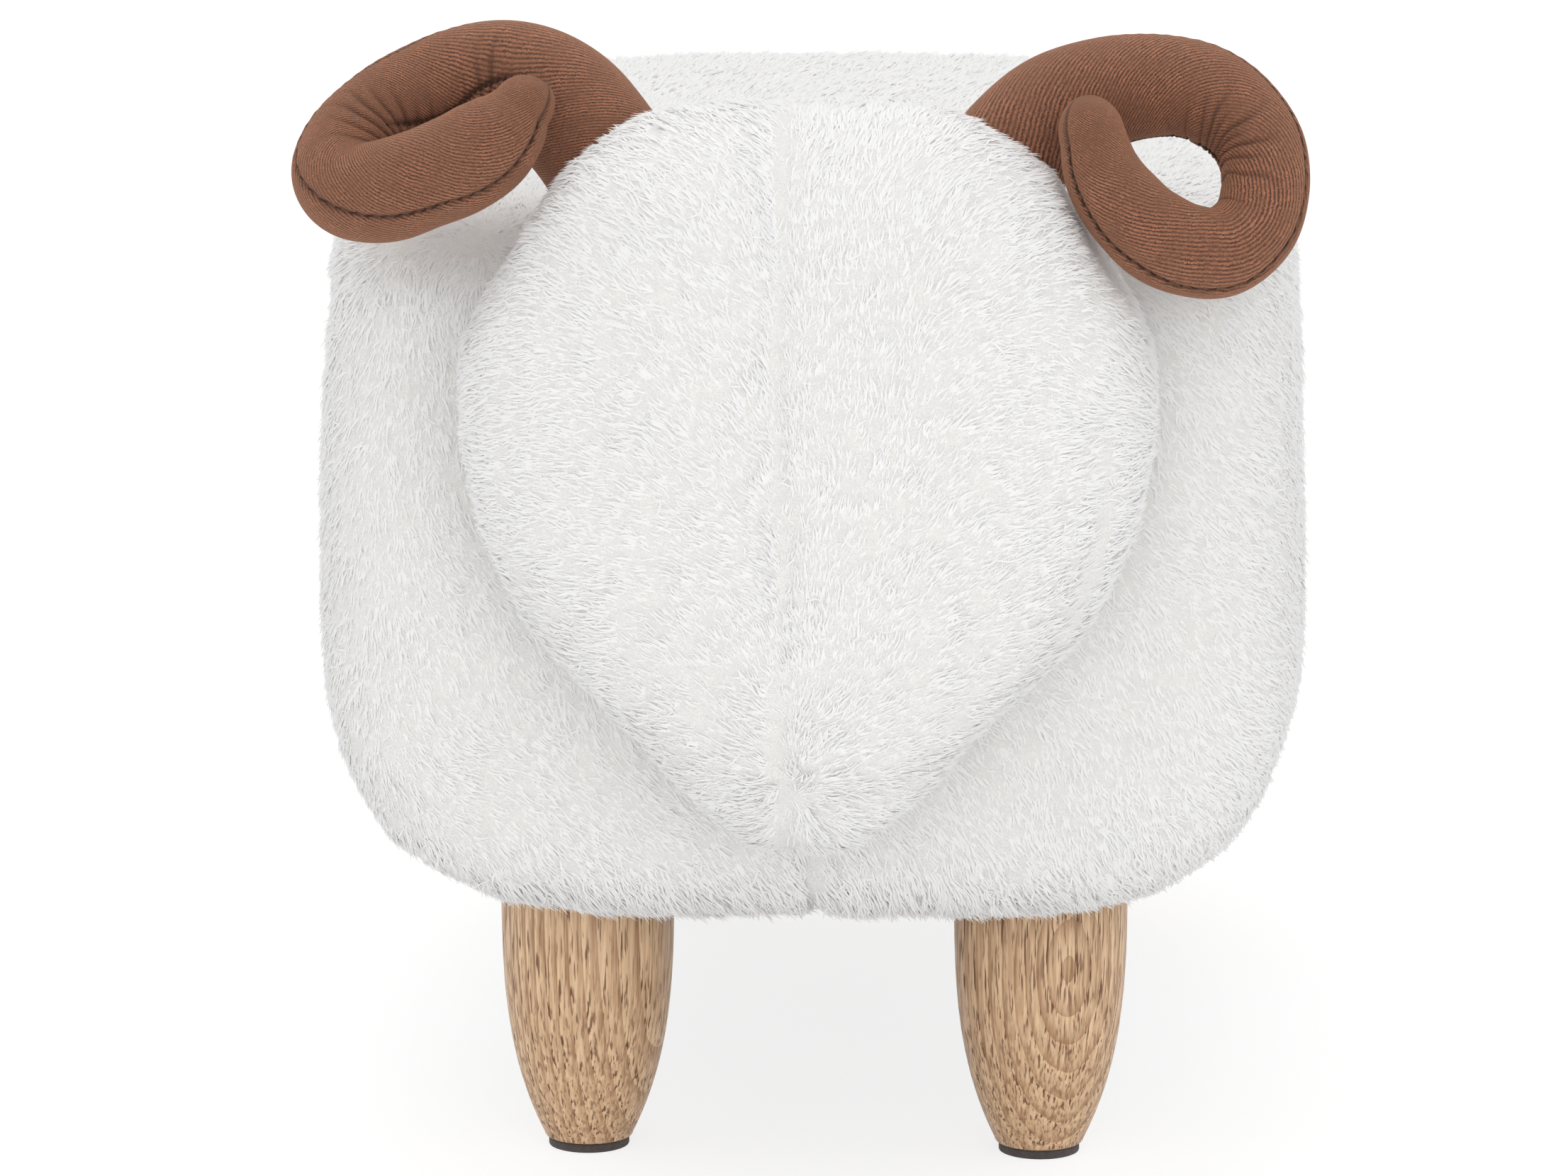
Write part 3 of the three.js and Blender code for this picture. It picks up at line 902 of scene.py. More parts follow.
class HornSettings(bpy.types.PropertyGroup):
    cloth_colour: colour_property("Cloth colour", "Velvet on its ribs", 180, 119, 88)
    # The shade colour is painted shade: between the ribs, and with the painted shadow of the seams
    # and creases
    shade_colour: colour_property(
        "Shade colour", "Velvet between its ribs and in its seams", 68, 40, 27
    )
    thread_colour: colour_property("Thread colour", "Stitches along the horn's seam", 62, 39, 29)
    rib_spacing: length_property("Rib spacing", "Distance from rib to rib round the horn", 1.35)
    seam_depth: length_property("Seam depth", "Depth of the groove along the seam", 0.9)
    gather_depth: length_property(
        "Gather depth", "Depth of the creases that run out of the curl", 1.0
    )
    stitch_length: length_property("Stitch length", "Length of one stitch", 2.3)
    stitch_pitch: length_property("Stitch pitch", "Distance from stitch to stitch", 3.6)


class LegSettings(bpy.types.PropertyGroup):
    light_colour: colour_property("Light wood", "Early wood of the legs", 240, 205, 165)
    dark_colour: colour_property("Dark wood", "Late wood of the legs", 168, 125, 88)
    pore_colour: colour_property("Pores", "Pores of the wood", 112, 70, 44)
    felt_colour: colour_property("Felt", "Felt pads under the legs", 98, 90, 88)
    edge_round: length_property("Edge rounding", "Rounding at the leg's foot and top", 1.4)


class InsideSettings(bpy.types.PropertyGroup):
    plywood_colour: colour_property("Plywood", "Boards of the frame", 220, 194, 152)
    foam_colour: colour_property("Foam", "Foam blocks round the frame", 238, 231, 205)
    wadding_colour: colour_property("Wadding", "Stuffing of the head and horns", 246, 246, 244)
    lining_colour: colour_property("Lining", "Cloth that closes the underside", 42, 42, 44)
    voxel: length_property("Foam detail", "Mesh size of the foam blocks", 6.0)


class StageSettings(bpy.types.PropertyGroup):
    camera_distance: length_property("Camera distance", "From the body's front, level", 2000.0)
    camera_height: length_property("Camera height", "Above the floor", 586.0)
    camera_aside: length_property("Camera aside", "How far left of the middle line it aims", 5.4)
    camera_turn: angle_property("Camera turn", "Angle of the view from straight ahead", 3.0)
    camera_dip: angle_property("Camera dip", "Angle of the view below level", 10.5)
    sky_strength: FloatProperty(
        name="Sky strength", description="Even light from all round", default=0.79, min=0
    )
    key_power: power_property("Key power", "Large soft lamp in front", 9.0)
    fill_power: power_property("Fill power", "Soft lamp low in front", 6.0)
    top_power: power_property("Top power", "Large soft lamp overhead", 12.5)
    floor_colour: colour_property("Floor", "Pale floor under the footstool", 250, 250, 250)


PHOTO_WIDTH = 2212
FOCAL_PIXELS = 8760
SENSOR_WIDTH = 36
# Each lamp's place from the middle of the footstool, its width and the setting that holds its power
LAMPS = {
    "key_lamp": ((0.35, -2.6, 0.8), 2.0, "key_power"),
    "fill_lamp": ((0.2, -2.4, -0.05), 2.2, "fill_power"),
    "top_lamp": ((-0.2, 0.3, 2.2), 2.0, "top_power"),
}
FLOOR_REACH = 6.0
# How much of the floor's paleness the lamps give it; the rest it glows with, so shadows stay faint
SHADOW_SHARE = 0.28
FLOOR_PALENESS = 1.06


# Pile ---------------------------------------------------------------------------------------------

FINE_RINGS = np.array([0.0, 0.36, 0.72])
COARSE_RINGS = np.array([0.0, 0.5])
FEWEST_FINE_STRANDS = 4
MOST_TRIANGLES = 195000
# How much of its own normal a strand's outer sides show, beside the normal of the cover under it
OWN_SHADE = 0.08
COARSE_SHADE = 0.2
STRAND_FLATNESS = 0.35
# Half width of a strand at its root, and how much narrower it is at each ring after it
ROOT_HALF_WIDTH = 0.42
NARROWING = 0.06
BAKE_MARGIN = 0.1

# A few strands stray far from their tuft's nap, in radians, and the others little
STRAYS = 0.12
FAR_STRAY, NEAR_STRAY = 0.5, 0.13
TUFT_REACH = 0.66
LENGTH_RANGE = (0.82, 1.12)
WIDTH_RANGE = (0.75, 1.25)
WAVE_RANGE = (0.5, 1.5)
WAVE_TURN = 5.2
LEAN_SPREAD = math.radians(3)
MOST_ROOT_LEAN = 1.5
LEAST_TIP_LEAN, MOST_TIP_LEAN = 0.2, 1.56
PULL_POWER = 1.4
TUFT_TINT = 0.7


class Tufts:
    """Where tufts of pile stand on a backing, which way each lies, and how large it is."""

    def __init__(self, roots, normals, spacing):
        self.roots, self.normals, self.spacing = roots, normals, spacing

    def keep(self, chosen):
        for name, values in vars(self).items():
            setattr(self, name, values[chosen])

    def part(self, chosen):
        piece = Tufts(self.roots, self.normals, self.spacing)
        vars(piece).update(vars(self))
        piece.keep(chosen)
        return piece


def scatter(grid, normals, spacing, seed):
    """Tufts spread over a grid of rings; the spacing is given for each place of the grid."""
    rng = np.random.default_rng(seed)
    last = len(grid) - 1
    ways = ((0, 0), (0, 1), (1, 1), (1, 0))
    corners = [np.roll(grid, -turn, axis=1)[start : last + start] for start, turn in ways]
    facings = [np.roll(normals, -turn, axis=1)[start : last + start] for start, turn in ways]
    first = np.cross(corners[1] - corners[0], corners[3] - corners[0])
    second = np.cross(corners[1] - corners[2], corners[3] - corners[2])
    area = (np.linalg.norm(first, axis=-1) + np.linalg.norm(second, axis=-1)) / 2
    total = np.cumsum((area / spacing[:last] ** 2).reshape(-1))
    count = int(total[-1])
    picks = (np.arange(count) + rng.random(count)) / count * total[-1]
    cell = np.minimum(np.searchsorted(total, picks), len(total) - 1)
    a, b = rng.random((2, count, 1))
    weights = ((1 - a) * (1 - b), a * (1 - b), a * b, (1 - a) * b)
    points = sum(w * c.reshape(-1, 3)[cell] for w, c in zip(weights, corners))
    facing = sum(w * c.reshape(-1, 3)[cell] for w, c in zip(weights, facings))
    return Tufts(points, unit(facing), spacing[:last].reshape(-1)[cell])


def strand_lines(tufts, settings, rings, seed):
    """Middle lines of the strands of every tuft, with their frames, widths and tints.

    A strand stands up from the backing, bends over along the nap, waves a little and
    draws towards the tip of its tuft.
    """
    rng = np.random.default_rng(seed)
    owner = np.repeat(np.arange(len(tufts.roots)), tufts.strands)
    count = len(owner)
    normals = tufts.normals[owner]
    stray = rng.normal(0, 1, count) * np.where(rng.random(count) < STRAYS, FAR_STRAY, NEAR_STRAY)
    combs = tufts.combs[owner]
    sides = np.cross(normals, combs)
    combs = combs * np.cos(stray)[:, None] + sides * np.sin(stray)[:, None]
    sides = np.cross(normals, combs)
    reach = tufts.spacing[owner] * TUFT_REACH * np.sqrt(rng.random(count))
    turn = rng.random(count) * 2 * math.pi
    offset = sides * (reach * np.cos(turn))[:, None] + combs * (reach * np.sin(turn))[:, None]
    length = tufts.lengths[owner] * rng.uniform(*LENGTH_RANGE, count)
    lean = tufts.leans[owner] + rng.normal(0, LEAN_SPREAD, count)
    start = np.clip(lean - settings.bend / 2, 0, MOST_ROOT_LEAN)
    bend = np.clip(lean + settings.bend / 2, LEAST_TIP_LEAN, MOST_TIP_LEAN) - start
    phase = tufts.phases[owner] + rng.normal(0, 0.5, count)
    wave = settings.wave * rng.uniform(*WAVE_RANGE, count)
    start_points = tufts.roots[owner] - normals * settings.root_depth
    shares = np.append(rings, 1.0)
    lines = np.empty((count, len(shares), 3))
    outs = np.empty_like(lines)
    for row, share in enumerate(shares):
        angle = start + bend * share
        forward = length * (np.cos(start) - np.cos(angle)) / bend
        upward = length * (np.sin(angle) - np.sin(start)) / bend
        sway = wave * (np.sin(phase + WAVE_TURN * share) - np.sin(phase))
        drawn = 1 - settings.tuft_pull * share**PULL_POWER
        lines[:, row] = (
            start_points
            + combs * forward[:, None]
            + normals * upward[:, None]
            + sides * sway[:, None]
            + offset * drawn
        )
        outs[:, row] = normals * np.sin(angle)[:, None] - combs * np.cos(angle)[:, None]
    widths = tufts.widths[owner] * rng.uniform(*WIDTH_RANGE, count)
    tints = TUFT_TINT * tufts.tints[owner] + 0.3 * rng.uniform(-1, 1, count)
    return lines, sides, outs, widths, tints


def strand_points(lines, sides, outs, widths):
    """Three corners at each ring of each strand, and its tip."""
    count, rows = lines.shape[:2]
    points = np.empty((count, (rows - 1) * 3 + 1, 3))
    for ring in range(rows - 1):
        half = widths * (ROOT_HALF_WIDTH if ring == 0 else 0.5 - NARROWING * ring)
        for corner in range(3):
            angle = math.pi / 2 + corner * 2 * math.pi / 3
            spoke = sides * math.cos(angle) + outs[:, ring] * STRAND_FLATNESS * math.sin(angle)
            points[:, ring * 3 + corner] = lines[:, ring] + spoke * half[:, None]
    points[:, -1] = lines[:, -1]
    return points


def strand_faces(rings):
    """Faces of one strand, and where each of their corners lies across and along it."""
    along = np.append(rings, 1.0)
    faces, places = [], []
    for ring in range(len(rings)):
        for corner in range(3):
            ahead = (corner + 1) % 3
            low, high = ring * 3, ring * 3 + 3
            near, far = corner / 3, (corner + 1) / 3
            places += [(near, along[ring]), (far, along[ring])]
            if ring < len(rings) - 1:
                faces.append([low + corner, low + ahead, high + ahead, high + corner])
                places += [(far, along[ring + 1]), (near, along[ring + 1])]
            else:
                faces.append([low + corner, low + ahead, high])
                places.append(((near + far) / 2, along[ring + 1]))
    return faces, np.array(places)


def pile_mesh(name, points, tints, facings, rings):
    """One mesh of many strands, each with its own cell in the bake map.

    A strand's two outer sides are shaded mostly as the cover under them, and its underside as
    what it is, so that light passes over the pile as over one soft surface.
    """
    count, corners_each = points.shape[:2]
    faces, places = strand_faces(rings)
    pattern = np.concatenate([np.array(face) for face in faces])
    starts = np.cumsum([0] + [len(face) for face in faces[:-1]])
    mesh = bpy.data.meshes.new(name)
    mesh.vertices.add(count * corners_each)
    mesh.vertices.foreach_set("co", points.reshape(-1).astype(np.float32))
    mesh.loops.add(count * len(pattern))
    corners = (np.arange(count)[:, None] * corners_each + pattern).reshape(-1)
    mesh.loops.foreach_set("vertex_index", corners.astype(np.int32))
    mesh.polygons.add(count * len(faces))
    first = (np.arange(count)[:, None] * len(pattern) + starts).reshape(-1)
    mesh.polygons.foreach_set("loop_start", first.astype(np.int32))
    mesh.update(calc_edges=True)
    mesh.shade_smooth()
    own = np.empty(count * corners_each * 3, np.float32)
    mesh.vertices.foreach_get("normal", own)
    own = own.reshape(count, corners_each, 3)[:, pattern]
    shade = OWN_SHADE if len(rings) == len(FINE_RINGS) else COARSE_SHADE
    under = np.concatenate([[place % 3 == 1] * len(face) for place, face in enumerate(faces)])
    weight = np.where(under, 1, shade)[:, None]
    eased = weight * own + np.where(under, -1, 1)[:, None] * facings[:, None]
    mesh.normals_split_custom_set(unit(eased).reshape(-1, 3).astype(np.float32))
    set_values(mesh, "pile_along", np.tile(np.append(np.repeat(rings, 3), 1.0), count))
    set_values(mesh, "pile_tint", np.repeat(tints, corners_each))
    columns = math.ceil(math.sqrt(count))
    cell = np.stack([np.arange(count) % columns, np.arange(count) // columns], axis=1)
    spots = cell[:, None] + BAKE_MARGIN + (1 - 2 * BAKE_MARGIN) * places[None]
    bake_map = mesh.uv_layers.new(name="OFBake")
    bake_map.data.foreach_set("uv", (spots / columns).reshape(-1).astype(np.float32))
    return mesh


def add_pile(name, tufts, settings, material, seed):
    """The strands of one cover, in pieces of a size that the exported model keeps whole."""
    rng = np.random.default_rng(seed)
    tufts.phases = 2 * math.pi * rng.random(len(tufts.roots))
    tufts.tints = rng.uniform(-1, 1, len(tufts.roots))
    fine = tufts.strands >= FEWEST_FINE_STRANDS
    for label, chosen, rings in (("fine", fine, FINE_RINGS), ("coarse", ~fine, COARSE_RINGS)):
        if not chosen.any():
            continue
        part = tufts.part(chosen)
        part.keep(np.argsort(np.arctan2(part.roots[:, 0], part.roots[:, 1]), kind="stable"))
        lines, sides, outs, widths, tints = strand_lines(part, settings, rings, seed)
        points = strand_points(lines, sides, outs, widths)
        facings = np.repeat(part.normals, part.strands, axis=0)
        each = 6 * (len(rings) - 1) + 3
        pieces = math.ceil(len(points) * each / MOST_TRIANGLES)
        for number, rows in enumerate(np.array_split(np.arange(len(points)), pieces), start=1):
            piece_name = f"{name}_{label}_{number}"
            mesh = pile_mesh(piece_name, points[rows], tints[rows], facings[rows], rings)
            add_piece(piece_name, mesh, "white_plush", material)


def horn_room(points):
    """How far each point is outside the nearer horn."""
    room = np.full(len(points), np.inf)
    for shares, side in ((RIGHT_HORN, 1), (LEFT_HORN, -1)):
        for x, y, z, radius in horn_run(shares, side)[::8]:
            room = np.minimum(room, np.linalg.norm(points - (x, y, z), axis=1) - radius)
    return room


def over_opening(points):
    """Which points lie above or below the cloth that closes the body's underside."""
    low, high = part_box("dust_cover")
    return (
        (points[:, 0] > low.x)
        & (points[:, 0] < high.x)
        & (points[:, 1] > low.y)
        & (points[:, 1] < high.y)
    )


def away_from_legs(points, room):
    clear = np.ones(len(points), bool)
    for corner in CORNERS:
        low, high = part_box(f"{corner}_leg")
        middle = (low + high) / 2
        beside = np.hypot(points[:, 0] - middle.x, points[:, 1] - middle.y)
        clear &= (beside > (high.x - low.x) / 2 + room) | (points[:, 2] > high.z + room)
    return clear


# The nap of the plush -----------------------------------------------------------------------------

SEAM_ASIDE = -0.5 * MM
BODY_SEAM_ASIDE = 1.5 * MM
MUZZLE_HEIGHT = 160 * MM
MUZZLE_WIDTH = 8 * MM
# The nap turns by these angles in patches of these sizes
HEAD_SWIRLS = ((math.radians(26), 30 * MM), (math.radians(20), 9 * MM))
BODY_SWIRLS = ((math.radians(24), 38 * MM), (math.radians(18), 10 * MM))
WHORL_TURN = math.radians(150)
# How far the head's nap bends down towards its edge, and how the left half differs
EDGE_BEND = math.radians(78)
LEFT_BEND = 0.75
LEFT_LIFT = 0.42
# Slope of the body's nap in front, and how it turns low and high on the left
BODY_NAP = math.radians(-58)
LOW_LEFT_TURN = math.radians(32)
HIGH_LEFT_TURN = math.radians(26)
# Soft unevenness of the backings: [depth, size, seed]
HEAD_LUMPS = ((1.1 * MM, 34 * MM, 21), (0.5 * MM, 12 * MM, 22))
BODY_LUMPS = ((1.2 * MM, 60 * MM, 31), (0.6 * MM, 17 * MM, 32))
HEAD_SEAM_DEPTH = 1.3 * MM
HEAD_SEAM_WIDTH = 1.8 * MM
# The seams fade out this far in front of the head's widest part
HEAD_SEAM_FADE = (6 * MM, 22 * MM)
GUSSET_SHARE = 0.83
GUSSET_DEPTH = 1.6 * MM


def muzzle_whorl(points):
    """Near 1 at the muzzle, where the pile turns every way."""
    away = np.hypot(points[:, 0] - SEAM_ASIDE, points[:, 2] - MUZZLE_HEIGHT)
    return groove(away, MUZZLE_WIDTH)


def swirled(angle, swirls, points, seed):
    for step, (turn, size) in enumerate(swirls):
        angle = angle + turn * noise(points, size, seed + step)
    return angle


def head_comb(points, normals, seed):
    """The nap of the head: out from the muzzle and the centre seam, then down at the edges."""
    across = points[:, 0] - SEAM_ASIDE + 2.2 * MM * noise(points, 2 * MM, seed + 3)
    up = points[:, 2] - MUZZLE_HEIGHT
    angle = np.arctan2(up, np.abs(across))
    bend = EDGE_BEND * smoothstep(np.abs(across), 20 * MM, 105 * MM)
    bend *= smoothstep(up, 10 * MM, 150 * MM)
    left = across < 0
    bend = np.where(left, bend * LEFT_BEND + LEFT_LIFT * angle, bend)
    angle = swirled(angle - bend, HEAD_SWIRLS, points, seed)
    angle += WHORL_TURN * muzzle_whorl(points) * noise(points, 4 * MM, seed + 4)
    combs = np.stack(
        [np.where(left, -1, 1) * np.cos(angle), np.full(len(points), 0.3), np.sin(angle)], axis=1
    )
    return laid_across(combs, normals)


def body_comb(points, normals, seed):
    """The nap of the body: down and to the right in front, and down and back on the sides."""
    low_left = smoothstep(-points[:, 0], -20 * MM, 90 * MM)
    low_left = low_left * smoothstep(-points[:, 2], -230 * MM, -140 * MM)
    high_left = smoothstep(-points[:, 0], 30 * MM, 110 * MM)
    high_left = high_left * smoothstep(points[:, 2], 200 * MM, 280 * MM)
    angle = BODY_NAP + LOW_LEFT_TURN * low_left - HIGH_LEFT_TURN * high_left
    angle = swirled(angle, BODY_SWIRLS, points, seed)
    across = points[:, 0] - BODY_SEAM_ASIDE
    parting = np.sign(across) * groove(across, 4 * MM) * (points[:, 2] < 150 * MM)
    combs = np.stack(
        [np.cos(angle) + 0.9 * parting, np.full(len(points), 0.75), np.sin(angle)], axis=1
    )
    return laid_across(combs, normals)


def lumpy(points, kinds):
    return sum(depth * noise(points, size, seed) for depth, size, seed in kinds)


def head_dents(form, grid):
    """How far the head's backing is drawn in: centre seam, side seams and soft unevenness."""
    points = grid.reshape(-1, 3)
    across = points[:, 0] - SEAM_ASIDE - 1.5 * MM * np.sin(points[:, 2] / (17 * MM))
    front = smoothstep(form.rim - points[:, 1], *HEAD_SEAM_FADE)
    seam = HEAD_SEAM_DEPTH * groove(across, HEAD_SEAM_WIDTH) * front
    share = np.hypot(
        (points[:, 0] - form.middle) / (form.width / 2),
        (points[:, 2] - form.height) / ((form.top - form.bottom) / 2),
    )
    low = smoothstep(form.height - points[:, 2] + 40 * MM, 0, 60 * MM)
    side = 0.45 + 0.55 * (points[:, 0] > form.middle)
    gusset = GUSSET_DEPTH * groove(share - GUSSET_SHARE, 0.03) * low * side * front
    return (seam + gusset + lumpy(points, HEAD_LUMPS)).reshape(grid.shape[:2])


def body_dents(form, grid):
    """How far the body's backing is drawn in: short seam under the muzzle, soft unevenness."""
    points = grid.reshape(-1, 3)
    in_front = smoothstep(form.front + 30 * MM - points[:, 1], 0, 20 * MM)
    low = smoothstep(150 * MM - points[:, 2], 0, 25 * MM)
    seam = 4 * MM * groove(points[:, 0] - BODY_SEAM_ASIDE, 2 * MM) * in_front * low
    return (seam + lumpy(points, BODY_LUMPS)).reshape(grid.shape[:2])


BACKING_CELL = 4.5 * MM
# Between these depths behind the body's front the pile turns from fine to coarse
FINE_PILE_FADE = (18 * MM, 110 * MM)
FRINGE_HEIGHT = 24 * MM
FRINGE_FADE = 18 * MM
COARSE_STRANDS = 3
HEAD_STRANDS = 6
TUFT_LENGTHS = (0.8, 1.2)
TUFT_LEANS = math.radians(2)
# How much further up the pile stands in these places
COARSE_RISE = math.radians(8)
FRINGE_RISE = math.radians(12)
EDGE_RISE = math.radians(3)
WHORL_RISE = math.radians(9)
# Tufts of one form stop where they come below this level of the other, or this near a horn or leg
BODY_IN_HEAD = 0.99
HEAD_IN_BODY = 0.998
TUFT_ROOM = 0.5 * MM


def dented_grid(form, dents):
    grid = form.grid(BACKING_CELL)
    normals = grid_normals(grid)
    grid = grid - normals * dents(form, grid)[..., None]
    grid[0], grid[-1] = grid[0].mean(axis=0), grid[-1].mean(axis=0)
    return grid, grid_normals(grid)


# Operators ----------------------------------------------------------------------------------------


def operator(cls):
    """Lists an operator in the order in which it runs."""
    OPERATORS.append(cls)
    return cls


@operator
class FOOTSTOOL_OT_stage(bpy.types.Operator):
    """Set up the camera, the soft lamps, the white surroundings and the pale floor"""

    bl_idname = "footstool.stage"
    bl_label = "Stage"

    def execute(self, context):
        settings = context.scene.footstool_stage
        self.add_camera(context.scene, settings)
        self.add_lamps(settings)
        self.add_sky(context.scene, settings)
        self.add_floor(settings)
        context.scene.view_settings.view_transform = "Standard"
        return {"FINISHED"}

    def add_camera(self, scene, settings):
        turn, dip = settings.camera_turn, settings.camera_dip
        ahead = Vector((-math.sin(turn), math.cos(turn), 0))
        right = Vector((math.cos(turn), math.sin(turn), 0))
        body_front = Vector((0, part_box("body_cover")[0].y, 0))
        place = body_front - ahead * settings.camera_distance - right * settings.camera_aside
        place.z = settings.camera_height
        look = ahead * math.cos(dip) - Vector((0, 0, math.sin(dip)))
        up = right.cross(look)
        data = bpy.data.cameras.new("camera")
        data.sensor_width = SENSOR_WIDTH
        data.lens = FOCAL_PIXELS / PHOTO_WIDTH * SENSOR_WIDTH
        camera = add_object("camera", data)
        facing = Matrix((right, up, -look)).transposed().to_4x4()
        camera.matrix_world = Matrix.Translation(place) @ facing
        scene.camera = camera

    def add_lamps(self, settings):
        middle = (cad_box[0] + cad_box[1]) / 2
        for name, (place, size, power) in LAMPS.items():
            offset = Vector(place)
            data = bpy.data.lights.new(name, "AREA")
            data.shape = "DISK"
            data.size = size
            data.energy = getattr(settings, power)
            lamp = add_object(name, data)
            lamp.location = middle + offset
            lamp.rotation_euler = (-offset).to_track_quat("-Z", "Y").to_euler()

    def add_sky(self, scene, settings):
        """Even light, with a white background where the camera, a gloss or glass sees it."""
        world = bpy.data.worlds.new("white_surroundings")
        world.use_nodes = True
        tree = world.node_tree
        background = tree.nodes["Background"]
        background.inputs["Color"].default_value = (1, 1, 1, 1)
        strength = ranged(tree, seen_straight(tree), 0, 1, settings.sky_strength, 1.0)
        tree.links.new(strength, background.inputs["Strength"])
        scene.world = world

    def add_floor(self, settings):
        """A floor that the camera sees near white, and that keeps the shadow."""
        half = FLOOR_REACH
        corners = [(-half, -half, 0), (half, -half, 0), (half, half, 0), (-half, half, 0)]
        mesh = mesh_from_faces("floor", corners, [(0, 1, 2, 3)])
        material = bpy.data.materials.new("pale_floor")
        material.use_nodes = True
        tree = material.node_tree
        shader = tree.nodes["Principled BSDF"]
        shader.inputs["Roughness"].default_value = 0.9
        seen = seen_straight(tree)
        lit = shaded(settings.floor_colour, SHADOW_SHARE)
        colour = mixed(tree, seen, tuple(settings.floor_colour), lit)
        tree.links.new(colour, shader.inputs["Base Color"])
        shader.inputs["Emission Color"].default_value = (1, 1, 1, 1)
        glow = ranged(tree, seen, 0, 1, 0.0, FLOOR_PALENESS - SHADOW_SHARE)
        tree.links.new(glow, shader.inputs["Emission Strength"])
        add_object("floor", mesh, material)


@operator
class FOOTSTOOL_OT_body_backing(bpy.types.Operator):
    """Make the cloth backing of the body's plush, turned in under the frame"""

    bl_idname = "footstool.body_backing"
    bl_label = "Body backing"

    OPENING_REACH = 5 * MM
    LINING_ROOM = 0.4 * MM

    def execute(self, context):
        settings = context.scene.footstool_plush
        form = body_form().drawn_in(settings.backing_inset)
        grid, _ = dented_grid(form, body_dents)
        points, faces = closed_grid(grid)
        low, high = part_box("dust_cover")
        centres = np.array([points[face].mean(axis=0) for face in faces])
        under = over_opening(centres) & (centres[:, 2] < high.z + self.OPENING_REACH)
        kept = [face for face, inside in zip(faces, under) if not inside]
        name = "body_plush_backing"
        mesh = mesh_from_faces(name, *self.turned_in(points, kept, low.z - self.LINING_ROOM))
        material = mottled_material(
            "plush_backing",
            settings.root_colour,
            settings.cloth_colour,
            roughness=0.95,
            cloud=160.0,
            fibre=1400.0,
        )
        piece = add_piece(name, mesh, "white_plush", material, replaced=["body_cover"])
        return {"FINISHED"}

    def turned_in(self, points, faces, level):
        """The backing with the edge of its opening drawn to a level, against the cloth there."""
        sides = {side for face in faces for side in zip(face, face[1:] + face[:1])}
        edge = sorted((near, far) for near, far in sides if (far, near) not in sides)
        rim = sorted({corner for side in edge for corner in side})
        drawn = {corner: len(points) + number for number, corner in enumerate(rim)}
        points = np.vstack([points, np.column_stack([points[rim, :2], np.full(len(rim), level)])])
        faces = faces + [[far, near, drawn[near], drawn[far]] for near, far in edge]
        used = sorted({corner for face in faces for corner in face})
        places = {corner: number for number, corner in enumerate(used)}
        return points[used], [[places[corner] for corner in face] for face in faces]


@operator
class FOOTSTOOL_OT_head_backing(bpy.types.Operator):
    """Make the cloth backing of the head's plush, with its seams drawn in"""

    bl_idname = "footstool.head_backing"
    bl_label = "Head backing"

    def execute(self, context):
        settings = context.scene.footstool_plush
        form = head_form().drawn_in(settings.backing_inset + settings.head_inset)
        grid, _ = dented_grid(form, head_dents)
        points, faces = closed_grid(grid)
        name = "head_plush_backing"
        mesh = mesh_from_faces(name, points, faces)
        material = bpy.data.materials["plush_backing"]
        piece = add_piece(name, mesh, "white_plush", material, replaced=["head_cover"])
        return {"FINISHED"}


